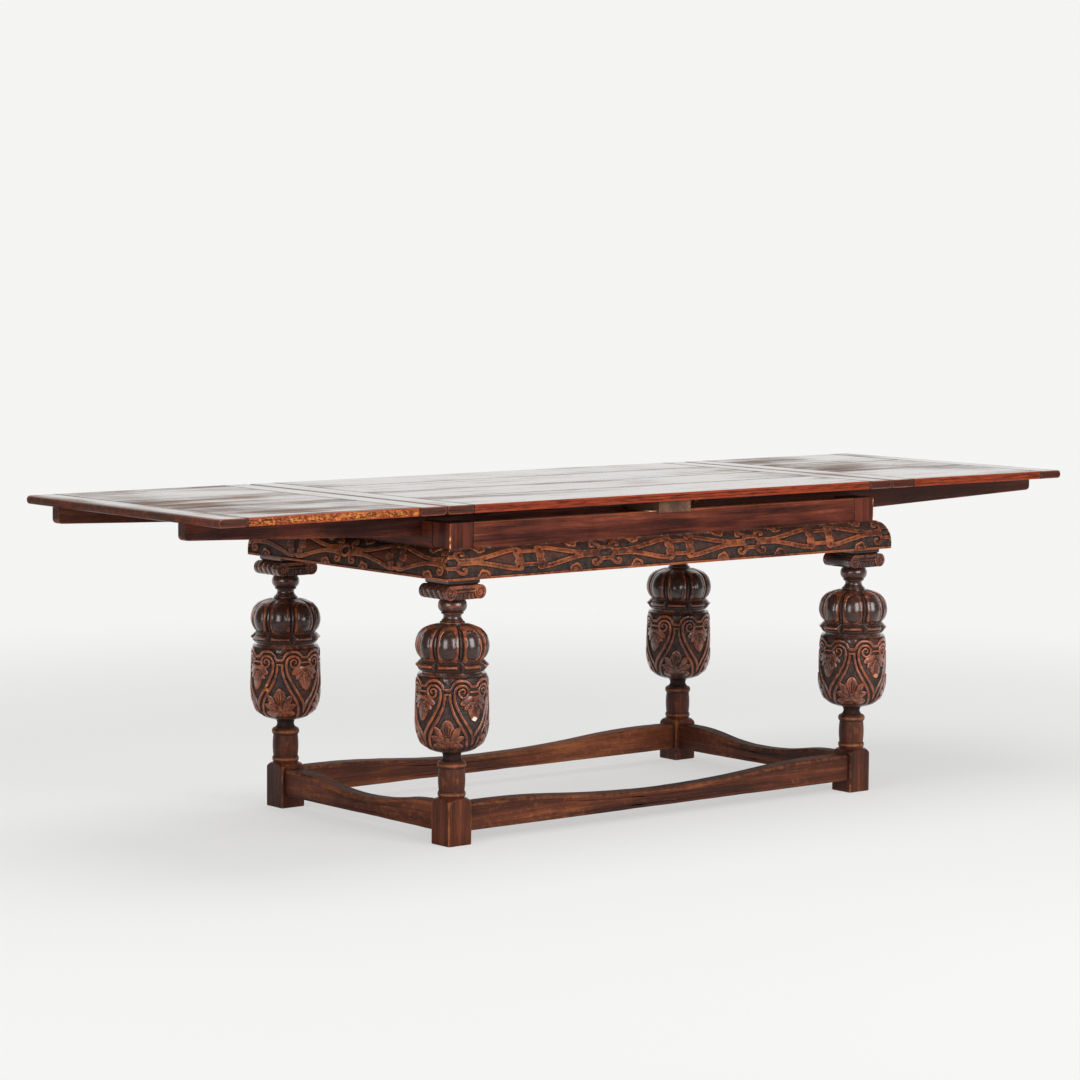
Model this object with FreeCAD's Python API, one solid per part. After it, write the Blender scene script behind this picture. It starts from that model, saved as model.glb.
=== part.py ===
import FreeCAD, Part
import math
import os

from FreeCAD import Vector

# All sizes are millimetres. X runs along the table, Y to the back, Z up from the floor.
# The table stands with both leaves drawn out.

# Boards of the top and the leaves
table_height = 780.0
board_thickness = 20.0
board_width = 786.0
centre_length = 1394.0
leaf_length = 613.0
seam_gap = 1.0
cleat_width = 75.0
tongue_length = 16.0
tongue_thickness = 7.0
end_round = 9.0
edge_round = 3.0
centre_plank_shares = (0.27, 0.24, 0.26, 0.23)
leaf_plank_shares = (0.36, 0.30, 0.34)

# Fits
leaf_clearance = 1.5
fit_clearance = 0.4

# Frame of posts, rails and friezes
leg_spacing_x = 1264.0
leg_spacing_y = 656.0
post_size = 66.7
rail_height = 127.0
rail_thickness = 26.0
rail_tenon_thickness = 10.0
rail_tenon_length = 30.0
rail_tenon_share = 0.7
frieze_height = 69.0
frieze_reach = 32.0
frieze_fillet = 15.0

# Bearer across the middle of the frame, and the pegs that keep the centre top in place
bearer_width = 100.0
bearer_sink = 5.0
bearer_overhang = 8.0
guide_peg_radius = 8.0
guide_peg_spacing = 300.0
guide_peg_depth = 12.0
guide_peg_drop = 55.0

# Lopers under the leaves
loper_width = 27.0
loper_inner_line = 241.0
loper_outer_line = 276.0
loper_end_depth = 37.0
loper_setback = 6.0
loper_nose = 9.0
loper_heel = 12.0
loper_overrun = 20.0
stop_peg_radius = 6.0
stop_peg_depth = 24.0
stop_peg_drop = 14.0
stop_travel = 18.0
stop_margin = 1.0

# Capital and abacus on each leg
abacus_size = 89.0
abacus_height = 13.0
abacus_chamfer = 4.0
capital_height = 33.0
capital_depth = 97.0
capital_panel_inset = 4.5
bolster_offset = 42.0
bolster_rim = 9.0
bolster_rib_count = 4
bolster_groove = 4.5
spigot_radius = 12.0
spigot_grip = 45.0

# Foot block and turning of each leg, from the floor up
block_height = 107.5
block_corner_height = 92.0
block_neck_radius = 30.0
block_shoulder_share = 0.35
base_fillet_height = 2.5
base_ring_height = 13.0
base_ring_radius = 32.3
column_radius = 31.2
column_end_share = 0.94
collar_height = 15.0
collar_radius = 33.3
stem_height = 22.0
stem_radius = 20.3
stem_lip_radius = 28.3
cup_height = 182.0
cup_radius = 85.4
cup_arc_shares = (
    ((0.05, 0.667), (0.12, 0.857)),
    ((0.22, 0.945), (0.46, 1.0)),
    ((0.68, 0.985), (0.92, 0.972)),
    ((0.965, 0.95), (1.0, 0.90)),
)
cup_fillet_height = 5.0
cup_fillet_radius = 68.7
girdle_height = 24.0
girdle_radius = 84.3
girdle_edge_radius = 73.7
girdle_point_share = 0.58
girdle_notch_width = 17.0
girdle_notch_root = 71.0
cover_height = 82.0
cover_radius = 85.2
cover_shares = ((0.0, 0.845), (0.2, 0.95), (0.45, 1.0), (0.70, 0.905), (0.88, 0.70), (1.0, 0.40))
cover_groove_share = 0.1
cover_lobe_count = 8
neck_height = 26.0
neck_radius = 20.8
neck_foot_radius = 29.5
neck_rise = 1.5
neck_waist_share = 0.62
neck_fillet_height = 3.5
neck_fillet_radius = 25.7
ball_height = 32.0
ball_radius = 33.4
ball_seat_radius = 24.5

# Stretchers between the foot blocks
stretcher_bottom = 30.0
stretcher_end_height = 64.0
stretcher_middle_height = 41.0
stretcher_thickness = 46.0
stretcher_round = 7.0
stretcher_flat_share = 0.12
stretcher_crest_share = 0.4
stretcher_tenon_thickness = 14.0
stretcher_tenon_length = 22.0
stretcher_tenon_share = 0.6

# Heights and places that follow from the sizes above
board_under = table_height - board_thickness
rail_top = board_under - board_thickness - 2 * leaf_clearance
rail_bottom = rail_top - rail_height
capital_top = rail_bottom - abacus_height
leg_height = capital_top - capital_height
frame_half_x = (leg_spacing_x + post_size) / 2
frame_half_y = (leg_spacing_y + post_size) / 2
bearer_bottom = rail_top - bearer_sink
leaf_start = centre_length / 2 + seam_gap
leaf_end = leaf_start + leaf_length
leaf_slope = (board_thickness + leaf_clearance) / (leaf_length + seam_gap)
loper_end = leaf_end - loper_setback
stop_peg_place = frame_half_x - rail_thickness - stop_travel - stop_margin - stop_peg_radius
leg_parts_height = (
    block_height + base_fillet_height + base_ring_height + collar_height + stem_height + cup_height
    + cup_fillet_height + girdle_height + cover_height + neck_height + ball_height
)
column_height = leg_height - leg_parts_height

z_axis = Vector(0, 0, 1)
corners = {"front_left": (-1, -1), "front_right": (1, -1), "back_left": (-1, 1), "back_right": (1, 1)}
# Each side of the frame, going round: the leg spacing along it and its distance from the middle.
sides = {
    "front": (leg_spacing_x, leg_spacing_y / 2),
    "right": (leg_spacing_y, leg_spacing_x / 2),
    "back": (leg_spacing_x, leg_spacing_y / 2),
    "left": (leg_spacing_y, leg_spacing_x / 2),
}
# Each leaf: its direction along X. Turned half round, one leaf is the other.
leaves = {"left": -1, "right": 1}


def box(x0, x1, y0, y1, z0, z1):
    return Part.makeBox(x1 - x0, y1 - y0, z1 - z0, Vector(x0, y0, z0))


def rod(radius, x, y, z0, z1):
    return Part.makeCylinder(radius, z1 - z0, Vector(x, y, z0))


def prism(points, direction):
    return Part.Face(Part.makePolygon(points + points[:1])).extrude(direction)


def joined(first, *others):
    return first.fuse(list(others)).removeSplitter()


def rounded(shape, radius, axis, place):
    """Round the long level edges of a board that lie at one place along an axis."""
    limit = board_thickness
    chosen = []
    for edge in shape.Edges:
        ends = [getattr(vertex.Point, axis) for vertex in edge.Vertexes]
        level = edge.BoundBox.ZLength < limit / 2
        if level and edge.Length > limit and all(abs(end - place) < seam_gap / 2 for end in ends):
            chosen.append(edge)
    return shape.makeFillet(radius, chosen)


class Outline:
    """Half outline of a turning, drawn upward as radius and height."""

    def __init__(self, radius, height):
        self.start = self.point = Vector(radius, 0, height)
        self.edges = []

    def line(self, radius, height):
        target = Vector(radius, 0, height)
        self.edges.append(Part.LineSegment(self.point, target).toShape())
        self.point = target
        return self

    def arc(self, middle, end):
        target = Vector(end[0], 0, end[1])
        self.edges.append(Part.Arc(self.point, Vector(middle[0], 0, middle[1]), target).toShape())
        self.point = target
        return self

    def turned(self):
        top = Vector(0, 0, self.point.z)
        bottom = Vector(0, 0, self.start.z)
        closing = Part.makePolygon([self.point, top, bottom, self.start])
        face = Part.Face(Part.Wire(self.edges + closing.Edges))
        return face.revolve(Vector(0, 0, 0), z_axis, 360)


def foot_block():
    half = post_size / 2
    corner = half * math.sqrt(2)
    shoulder = block_height - block_corner_height
    bulge = block_neck_radius + (corner - block_neck_radius) * (1 - block_shoulder_share)
    outline = Outline(corner, 0).line(corner, block_corner_height)
    outline.arc((bulge, block_height - shoulder * block_shoulder_share), (block_neck_radius, block_height))
    return box(-half, half, -half, half, 0, block_height).common(outline.turned())


def lower_turning():
    """Base ring, column, collar, stem, cup and girdle as one turning."""
    z = block_height
    outline = Outline(block_neck_radius, z)
    z += base_fillet_height
    outline.line(block_neck_radius, z)
    outline.arc((base_ring_radius, z + base_ring_height / 2), (block_neck_radius, z + base_ring_height))
    z += base_ring_height
    foot = column_radius * column_end_share
    outline.line(foot, z)
    outline.arc((column_radius, z + column_height / 2), (foot, z + column_height))
    z += column_height
    outline.line(block_neck_radius, z)
    outline.arc((collar_radius, z + collar_height / 2), (block_neck_radius, z + collar_height))
    z += collar_height
    outline.arc((stem_radius, z + stem_height / 2), (stem_lip_radius, z + stem_height))
    z += stem_height
    for middle, end in cup_arc_shares:
        through, target = [(cup_radius * share, z + cup_height * rise) for rise, share in (middle, end)]
        outline.arc(through, target)
    z += cup_height
    outline.line(cup_fillet_radius, z)
    z += cup_fillet_height
    outline.line(cup_fillet_radius, z)
    outline.line(girdle_edge_radius, z)
    outline.line(girdle_radius, z + girdle_height * girdle_point_share)
    z += girdle_height
    outline.line(girdle_edge_radius, z)
    return outline.turned(), z


def notched_girdle(turning, top):
    """Cut the girdle into facets with an upright notch between each two lobes of the cover."""
    bottom = top - girdle_height
    outer = 2 * girdle_radius - girdle_notch_root
    tip = Vector(girdle_notch_root, 0, bottom)
    left = Vector(outer, -girdle_notch_width, bottom)
    right = Vector(outer, girdle_notch_width, bottom)
    notch = prism([tip, left, right], z_axis * girdle_height)
    step = 360 / cover_lobe_count
    for index in range(cover_lobe_count):
        cutter = notch.copy()
        cutter.rotate(Vector(0, 0, 0), z_axis, step * (index + 1 / 2))
        turning = turning.cut(cutter)
    return turning


def lobed_ring(radius, height):
    """Ring of convex lobes, with a groove between each two."""
    step = 2 * math.pi / cover_lobe_count
    groove = radius * (1 - cover_groove_share)

    def station(distance, turn):
        return Vector(distance * math.cos(turn), distance * math.sin(turn), height)

    edges = []
    for index in range(cover_lobe_count):
        middle = index * step
        start = station(groove, middle - step / 2)
        end = station(groove, middle + step / 2)
        edges.append(Part.Arc(start, station(radius, middle), end).toShape())
    return Part.Wire(edges)


def gadrooned_cover(bottom):
    rings = [lobed_ring(cover_radius * share, bottom + cover_height * rise) for rise, share in cover_shares]
    return Part.makeLoft(rings, True, False)


def upper_turning(bottom):
    """Neck, ball and the spigot that runs through the capital into the corner post."""
    z = bottom
    outline = Outline(neck_foot_radius, z)
    cove_height = neck_height - neck_fillet_height
    outline.arc((neck_radius, z + cove_height * neck_waist_share), (neck_radius + neck_rise, z + cove_height))
    z += cove_height
    outline.line(neck_fillet_radius, z)
    outline.line(neck_fillet_radius, z + neck_fillet_height)
    z += neck_fillet_height
    outline.line(ball_seat_radius, z)
    outline.arc((ball_radius, z + ball_height / 2), (ball_seat_radius, z + ball_height))
    z += ball_height
    outline.line(spigot_radius, z)
    outline.line(spigot_radius, rail_bottom + spigot_grip)
    return outline.turned()


def leg():
    lower, girdle_top = lower_turning()
    lower = notched_girdle(lower, girdle_top)
    cover = gadrooned_cover(girdle_top)
    return joined(foot_block(), lower, cover, upper_turning(girdle_top + cover_height))


def bolster(side, ribbed):
    """Scroll roll of the capital, turned about an axis along Y, plain or reeded between its rims."""
    radius = capital_height / 2
    half = capital_depth / 2
    waist = half - bolster_rim
    outline = Outline(radius, -half).line(radius, -waist)
    if ribbed:
        width = 2 * waist / bolster_rib_count
        outline.line(radius - bolster_groove, -waist)
        for index in range(bolster_rib_count):
            start = -waist + index * width
            outline.arc((radius, start + width / 2), (radius - bolster_groove, start + width))
        outline.line(radius, waist)
    else:
        outline.arc((radius - bolster_groove, 0), (radius, waist))
    outline.line(radius, half)
    roll = outline.turned()
    roll.rotate(Vector(0, 0, 0), Vector(1, 0, 0), 90)
    roll.translate(Vector(side * bolster_offset, 0, leg_height + radius))
    return roll


def capital(outward):
    """Two scroll rolls on a core, the reeded one toward the table's end, under a chamfered abacus."""
    panel = capital_depth / 2 - capital_panel_inset
    core = box(-bolster_offset, bolster_offset, -panel, panel, leg_height, capital_top)
    half = abacus_size / 2
    abacus = box(-half, half, -half, half, capital_top, rail_bottom)
    lower_edges = [edge for edge in abacus.Edges if edge.BoundBox.ZMax < capital_top + abacus_chamfer]
    abacus = abacus.makeChamfer(abacus_chamfer, lower_edges)
    solid = joined(core, abacus, bolster(outward, True), bolster(-outward, False))
    return solid.cut(rod(spigot_radius + fit_clearance, 0, 0, leg_height, rail_bottom))


def corner_post():
    half = post_size / 2
    post = box(-half, half, -half, half, rail_bottom, rail_top)
    grip = spigot_grip + fit_clearance
    return post.cut(rod(spigot_radius + fit_clearance, 0, 0, rail_bottom, rail_bottom + grip))


def around(shape, side):
    """Turn a piece that is drawn for the front to its own side of the frame."""
    shape.rotate(Vector(0, 0, 0), z_axis, 360 / len(sides) * list(sides).index(side))
    return shape


def rail_tenon(side, extra):
    """Tenon bar right through a rail; a mortise has the same bar with a clearance at its ends."""
    run, distance = sides[side]
    half_run = (run - post_size) / 2 + rail_tenon_length + extra
    middle_y = -distance - post_size / 2 + rail_thickness / 2
    half = rail_tenon_thickness / 2
    rise = rail_height * (1 - rail_tenon_share) / 2
    bar = box(-half_run, half_run, middle_y - half, middle_y + half, rail_bottom + rise, rail_top - rise)
    return around(bar, side)


def rail(side):
    run, distance = sides[side]
    half_run = (run - post_size) / 2
    face = -distance - post_size / 2
    board = around(box(-half_run, half_run, face, face + rail_thickness, rail_bottom, rail_top), side)
    return joined(board, rail_tenon(side, 0))


def frieze(side):
    """Carved moulding on the lower rail: an ovolo over a fillet, mitred at both ends."""
    run, distance = sides[side]
    half_run = (run + post_size) / 2
    face = -distance - post_size / 2
    rise = frieze_height - frieze_fillet
    spring = Vector(-half_run - frieze_reach, face, rail_bottom + frieze_fillet)
    front = Vector(spring.x, face - frieze_reach, spring.z)
    crown = Vector(spring.x, face, spring.z + rise)
    curve = Part.Ellipse(crown, front, spring)
    ovolo = Part.Arc(curve, 0, math.pi / 2).toShape()
    back = Vector(spring.x, face, rail_bottom)
    foot = Vector(spring.x, front.y, rail_bottom)
    base = Part.makePolygon([crown, back, foot, front])
    section = Part.Face(Part.Wire([ovolo] + base.Edges))
    length = section.extrude(Vector(2 * (half_run + frieze_reach), 0, 0))
    mitre = prism([
        Vector(-half_run, face, rail_bottom),
        Vector(half_run, face, rail_bottom),
        Vector(half_run + frieze_reach, face - frieze_reach, rail_bottom),
        Vector(-half_run - frieze_reach, face - frieze_reach, rail_bottom),
    ], z_axis * frieze_height)
    return around(length.common(mitre), side)


def stretcher_tenon(side, extra):
    run, distance = sides[side]
    half_run = (run - post_size) / 2 + stretcher_tenon_length + extra
    half = stretcher_tenon_thickness / 2
    rise = stretcher_middle_height * (1 - stretcher_tenon_share) / 2
    bottom = stretcher_bottom + rise
    top = stretcher_bottom + stretcher_middle_height - rise
    return around(box(-half_run, half_run, -distance - half, -distance + half, bottom, top), side)


def bow_middle(level_end, other):
    """Middle point of an arc that leaves one end level and runs to another point."""
    run = other.x - level_end.x
    rise = other.z - level_end.z
    radius = (run * run + rise * rise) / (2 * rise)
    half_turn = math.atan2(rise, abs(run))
    x = level_end.x + math.copysign(radius * math.sin(half_turn), run)
    return Vector(x, level_end.y, level_end.z + radius * (1 - math.cos(half_turn)))


def stretcher(side):
    """Bar with a straight foot and a top that dips to the middle, its top edges rounded."""
    run, distance = sides[side]
    half_run = (run - post_size) / 2
    back = -distance + stretcher_thickness / 2
    dip = stretcher_end_height - stretcher_middle_height
    low = stretcher_bottom + stretcher_middle_height
    high = low + dip
    flat = half_run * (1 - stretcher_flat_share)
    turning = flat * (1 - stretcher_crest_share)
    level = low + dip * (1 - stretcher_crest_share)
    outline = []
    for way in (-1, 1):
        end = Vector(way * half_run, back, high)
        crest = Vector(way * flat, back, high)
        bend = Vector(way * turning, back, level)
        trough = Vector(0, back, low)
        outline.append(Part.LineSegment(end, crest).toShape())
        outline.append(Part.Arc(crest, bow_middle(crest, bend), bend).toShape())
        outline.append(Part.Arc(bend, bow_middle(trough, bend), trough).toShape())
    left = Vector(-half_run, back, stretcher_bottom)
    right = Vector(half_run, back, stretcher_bottom)
    frame = Part.makePolygon([Vector(half_run, back, high), right, left, Vector(-half_run, back, high)])
    wire = Part.Wire(Part.__sortEdges__(outline + frame.Edges))
    bar = Part.Face(wire).extrude(Vector(0, -stretcher_thickness, 0))
    long_top = [edge for edge in bar.Edges
                if edge.BoundBox.YLength < fit_clearance and edge.BoundBox.ZMin > low - fit_clearance]
    bar = bar.makeFillet(stretcher_round, long_top)
    return joined(around(bar, side), stretcher_tenon(side, 0))


def loper_top(reach):
    return board_under - (leaf_start + loper_heel - reach) * leaf_slope


def loper_bottom(reach):
    return board_under - loper_end_depth - (loper_end - reach) * leaf_slope


def loper_places(leaf):
    """Front and back loper of a leaf: the lines swap over, so that the two leaves' lopers pass."""
    if leaf == "left":
        return {"front": -loper_inner_line, "back": loper_outer_line}
    return {"front": -loper_outer_line, "back": loper_inner_line}


def upright_slab(points, leaf, y, width):
    """Extrude an outline of reach and height, drawn outward along a leaf, across its middle line."""
    outline = [Vector(leaves[leaf] * reach, y - width / 2, height) for reach, height in points]
    return prism(outline, Vector(0, width, 0))


def loper(leaf, y):
    meet = leaf_start + loper_heel
    outline = [
        (-loper_overrun, loper_bottom(-loper_overrun)),
        (-loper_overrun, loper_top(-loper_overrun)),
        (meet, board_under),
        (loper_end, board_under),
        (loper_end, loper_bottom(loper_end)),
    ]
    bar = upright_slab(outline, leaf, y, loper_width)
    tip = leaves[leaf] * loper_end
    nose = [edge for edge in bar.Edges
            if abs(edge.BoundBox.XMin - tip) + abs(edge.BoundBox.XMax - tip) < fit_clearance
            and edge.BoundBox.ZMax < board_under - fit_clearance]
    bar = bar.makeFillet(loper_nose, nose)
    x = leaves[leaf] * stop_peg_place
    ceiling = loper_bottom(stop_peg_place) + stop_peg_depth
    return bar.cut(rod(stop_peg_radius + fit_clearance, x, y, rail_bottom, ceiling))


def stop_peg(leaf, y):
    x = leaves[leaf] * stop_peg_place
    under = loper_bottom(stop_peg_place)
    return rod(stop_peg_radius, x, y, under - stop_peg_drop, under + stop_peg_depth)


def rail_notch(leaf, y):
    """Open slot in an end rail, its floor parallel to the loper that slides on it."""
    inner = frame_half_x - 2 * rail_thickness
    outer = frame_half_x + rail_thickness
    outline = [
        (inner, loper_bottom(inner) - fit_clearance),
        (outer, loper_bottom(outer) - fit_clearance),
        (outer, board_under),
        (inner, board_under),
    ]
    return upright_slab(outline, leaf, y, loper_width + 2 * fit_clearance)


def bearer_trench(leaf, y):
    """Slot under the bearer, its roof parallel to the loper that slides below it."""
    outline = [
        (-bearer_width, loper_top(-bearer_width) + fit_clearance),
        (bearer_width, loper_top(bearer_width) + fit_clearance),
        (bearer_width, rail_bottom),
        (-bearer_width, rail_bottom),
    ]
    return upright_slab(outline, leaf, y, loper_width + 2 * fit_clearance)


def bearer_blank():
    half = bearer_width / 2
    end = frame_half_y + bearer_overhang
    return box(-half, half, -end, end, bearer_bottom, board_under)


def centre_bearer():
    bearer = bearer_blank()
    for leaf in leaves:
        for y in loper_places(leaf).values():
            bearer = bearer.cut(bearer_trench(leaf, y))
    for y in (-guide_peg_spacing / 2, guide_peg_spacing / 2):
        bearer = bearer.cut(rod(guide_peg_radius + leaf_clearance, 0, y, rail_bottom, table_height))
    return bearer


def guide_peg(y):
    return rod(guide_peg_radius, 0, y, board_under - guide_peg_drop, board_under + guide_peg_depth)


def tongue(x0, x1, y0, y1):
    middle = board_under + board_thickness / 2
    half = tongue_thickness / 2
    return box(x0, x1, y0, y1, middle - half, middle + half)


def cleat(inner, outer):
    """End board across the planks, grooved for their tongues at the inner edge, rounded at the outer."""
    half = board_width / 2
    low, high = min(inner, outer), max(inner, outer)
    board = box(low, high, -half, half, board_under, table_height)
    into = math.copysign(tongue_length + fit_clearance, outer - inner)
    ends = sorted((inner, inner + into))
    grooved = board.cut(tongue(ends[0], ends[1], -half, half))
    return rounded(grooved, end_round, "x", outer)


def planks(x0, x1, shares):
    """Boards side by side between two cleats, tongued at both ends, with the outer edges eased."""
    boards = []
    y = -board_width / 2
    for index, share in enumerate(shares):
        width = board_width * share
        board = box(x0, x1, y, y + width, board_under, table_height)
        board = joined(board, tongue(x0 - tongue_length, x1 + tongue_length, y, y + width))
        if index == 0:
            board = rounded(board, edge_round, "y", y)
        if index == len(shares) - 1:
            board = rounded(board, edge_round, "y", y + width)
        boards.append(board)
        y += width
    return boards


def frame_pieces():
    pieces = {}
    for name, (side_x, side_y) in corners.items():
        place = Vector(side_x * leg_spacing_x / 2, side_y * leg_spacing_y / 2, 0)
        pieces["leg_" + name] = leg()
        pieces["capital_" + name] = capital(side_x)
        pieces["corner_post_" + name] = corner_post()
        for kind in ("leg_", "capital_", "corner_post_"):
            pieces[kind + name].translate(place)
        for side in sides:
            if side in name:
                post = pieces["corner_post_" + name].cut(rail_tenon(side, fit_clearance))
                pieces["corner_post_" + name] = post
                foot = pieces["leg_" + name].cut(stretcher_tenon(side, fit_clearance))
                pieces["leg_" + name] = foot
    for side in sides:
        pieces["rail_" + side] = rail(side)
        pieces["frieze_" + side] = frieze(side)
        pieces["stretcher_" + side] = stretcher(side)
    for leaf in leaves:
        for y in loper_places(leaf).values():
            pieces["rail_" + leaf] = pieces["rail_" + leaf].cut(rail_notch(leaf, y))
    for side in ("front", "back"):
        pieces["rail_" + side] = pieces["rail_" + side].cut(bearer_blank())
    pieces["centre_bearer"] = centre_bearer()
    return pieces


def centre_top_pieces():
    pieces = {}
    end = centre_length / 2
    start = end - cleat_width
    peg_ends = {"front": -guide_peg_spacing / 2, "back": guide_peg_spacing / 2}
    for index, board in enumerate(planks(-start, start, centre_plank_shares)):
        for y in peg_ends.values():
            hole = guide_peg_depth
            board = board.cut(rod(guide_peg_radius + fit_clearance, 0, y, board_under, board_under + hole))
        pieces["centre_plank_%d" % (index + 1)] = board
    pieces["centre_cleat_left"] = cleat(-start, -end)
    pieces["centre_cleat_right"] = cleat(start, end)
    for name, y in peg_ends.items():
        pieces["guide_peg_" + name] = guide_peg(y)
    return pieces


def leaf_pieces(leaf):
    pieces = {}
    direction = leaves[leaf]
    inner = leaf_start + cleat_width
    outer = leaf_end - cleat_width
    low, high = sorted((direction * inner, direction * outer))
    for index, board in enumerate(planks(low, high, leaf_plank_shares)):
        pieces["%s_leaf_plank_%d" % (leaf, index + 1)] = board
    pieces[leaf + "_leaf_inner_cleat"] = cleat(direction * inner, direction * leaf_start)
    pieces[leaf + "_leaf_outer_cleat"] = cleat(direction * outer, direction * leaf_end)
    for name, y in loper_places(leaf).items():
        pieces["%s_loper_%s" % (leaf, name)] = loper(leaf, y)
        pieces["%s_stop_peg_%s" % (leaf, name)] = stop_peg(leaf, y)
    return pieces


def main():
    os.makedirs("parts", exist_ok=True)
    pieces = frame_pieces()
    pieces.update(centre_top_pieces())
    for leaf in leaves:
        pieces.update(leaf_pieces(leaf))
    for name, shape in pieces.items():
        solid = shape.Solids[0]
        solid.exportStep("parts/%s.step" % name)
        print(name, len(shape.Solids), solid.isValid(), round(solid.Volume))


main()
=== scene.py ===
import bpy
import math
import numpy as np
from mathutils import Matrix, Vector


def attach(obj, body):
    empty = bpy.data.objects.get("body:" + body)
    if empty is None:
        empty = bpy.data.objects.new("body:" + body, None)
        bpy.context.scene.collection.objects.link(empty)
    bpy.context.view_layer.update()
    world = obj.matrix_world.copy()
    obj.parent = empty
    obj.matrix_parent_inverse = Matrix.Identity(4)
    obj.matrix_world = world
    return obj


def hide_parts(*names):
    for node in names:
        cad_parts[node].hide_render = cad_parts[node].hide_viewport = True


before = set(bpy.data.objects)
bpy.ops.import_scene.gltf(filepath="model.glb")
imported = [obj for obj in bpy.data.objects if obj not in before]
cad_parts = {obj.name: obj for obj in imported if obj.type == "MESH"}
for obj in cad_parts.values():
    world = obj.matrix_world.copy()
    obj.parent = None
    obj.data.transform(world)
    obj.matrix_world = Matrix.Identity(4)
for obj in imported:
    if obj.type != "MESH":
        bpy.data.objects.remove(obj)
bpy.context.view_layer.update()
print("frame loaded:", len(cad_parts), "nodes")


# shader wiring: arithmetic on a wire adds Math nodes, make() adds any other node

class Wire:
    def __init__(self, tree, socket=None):
        self.tree = tree
        self.socket = socket

    def make(self, kind, settings=None, inputs=None, out=0):
        node = self.tree.nodes.new(kind)
        for key, value in (settings or {}).items():
            setattr(node, key, value)
        for key, value in (inputs or {}).items():
            if isinstance(value, Wire):
                self.tree.links.new(value.socket, node.inputs[key])
            else:
                node.inputs[key].default_value = value
        return Wire(self.tree, node.outputs[out])

    def sum(self, operation, first, second):
        return self.make("ShaderNodeMath", {"operation": operation}, {0: first, 1: second})

    def __add__(self, other):
        return self.sum("ADD", self, other)

    def __radd__(self, other):
        return self.sum("ADD", other, self)

    def __sub__(self, other):
        return self.sum("SUBTRACT", self, other)

    def __rsub__(self, other):
        return self.sum("SUBTRACT", other, self)

    def __mul__(self, other):
        return self.sum("MULTIPLY", self, other)

    def __rmul__(self, other):
        return self.sum("MULTIPLY", other, self)

    def ease(self, low, high):  # 0 below low, 1 above high, smooth between
        limits = {"Value": self, "From Min": low, "From Max": high}
        return self.make("ShaderNodeMapRange", {"interpolation_type": "SMOOTHSTEP"}, limits)

    def noise(self, place, scale, detail, rough):
        values = {"Vector": place, "Scale": scale, "Detail": detail, "Roughness": rough}
        return self.make("ShaderNodeTexNoise", None, values)

    def stretch(self, place, scale):
        return self.make("ShaderNodeMapping", None, {"Vector": place, "Scale": scale})

    def tint(self, factor, under, over):  # a Mix node's colours are its sockets 6 and 7 and its output 2
        under, over = [c if isinstance(c, Wire) else (*c, 1.0) for c in (under, over)]
        return self.make("ShaderNodeMix", {"data_type": "RGBA"}, {0: factor, 6: under, 7: over}, 2)

    def field(self, name):  # a value kept on the mesh
        return self.make("ShaderNodeAttribute", {"attribute_name": name}, None, "Fac")

    def into(self, shader, socket):
        self.tree.links.new(self.socket, shader.inputs[socket])


# wood: streaks, fine grain and pores run along the grain; wear, dirt, staining, and painted shade, highlights and
# glints follow values kept on the mesh

plainLook = {"end": (0.036, 0.017, 0.012), "spread": 0.22, "coat": 0.0, "glaze": 0.13, "dull": 0.0, "wear": 0.6,
             "figure": 0.02}
topLook = {**plainLook, "dark": (0.038, 0.0155, 0.0075), "middle": (0.128, 0.054, 0.0225),
           "light": (0.24, 0.114, 0.045), "worn": (0.32, 0.042, 0.0112), "ground": (0.022, 0.011, 0.007),
           "end": (0.050, 0.0130, 0.0080), "rough": 0.24, "spread": 0.18, "coat": 1.0, "dull": 1.0, "shine": 0.2,
           "bump": 0.16, "figure": 0.03}
frameLook = {**plainLook, "dark": (0.034, 0.0080, 0.0050), "middle": (0.142, 0.0300, 0.0155),
             "light": (0.44, 0.125, 0.0520), "worn": (0.29, 0.068, 0.019), "ground": (0.014, 0.0075, 0.0055),
             "rough": 0.36, "shine": 0.18, "bump": 0.35, "figure": 0.05}
postLook = {**frameLook, "light": (0.19, 0.042, 0.0210), "figure": 0.0}
blockLook = {**plainLook, "dark": (0.034, 0.0105, 0.0058), "middle": (0.104, 0.0265, 0.0120),
             "light": (0.24, 0.066, 0.0240), "worn": (0.34, 0.112, 0.037), "ground": (0.020, 0.0105, 0.0070),
             "rough": 0.40, "glaze": 0.20, "shine": 0.22, "bump": 0.5, "wear": 0.75}
# the back stretcher's wood: a paler copy of the block wood, partly painted light against the shade under the table
backPaleAndLitLook = {**blockLook, "dark": (0.055, 0.0165, 0.0085), "middle": (0.165, 0.044, 0.0175),
            "light": (0.34, 0.102, 0.0350)}
friezeLook = {**plainLook, "dark": (0.038, 0.0095, 0.0055), "middle": (0.100, 0.0225, 0.0098),
              "light": (0.20, 0.050, 0.0180), "worn": (0.44, 0.122, 0.037), "ground": (0.024, 0.0135, 0.0110),
              "end": (0.04, 0.02, 0.014), "rough": 0.34, "spread": 0.24, "shine": 0.30, "bump": 0.6, "wear": 0.9}
legLook = {**friezeLook, "dark": (0.036, 0.0092, 0.0054), "middle": (0.095, 0.0205, 0.0092),
           "light": (0.18, 0.041, 0.0150), "worn": (0.41, 0.102, 0.0300), "ground": (0.025, 0.0125, 0.0088),
           "rough": 0.27, "spread": 0.16, "coat": 0.95, "glaze": 0.17, "shine": 0.45, "bump": 0.45, "figure": 0.0}
bareLook = {**plainLook, "dark": (0.085, 0.040, 0.022), "middle": (0.168, 0.081, 0.045),
            "light": (0.25, 0.138, 0.083), "worn": (0.30, 0.19, 0.12), "ground": (0.05, 0.035, 0.025),
            "end": (0.13, 0.085, 0.06), "rough": 0.62, "spread": 0.18, "shine": 0.3, "bump": 0.5, "wear": 0.4,
            "figure": 0.05}
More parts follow.
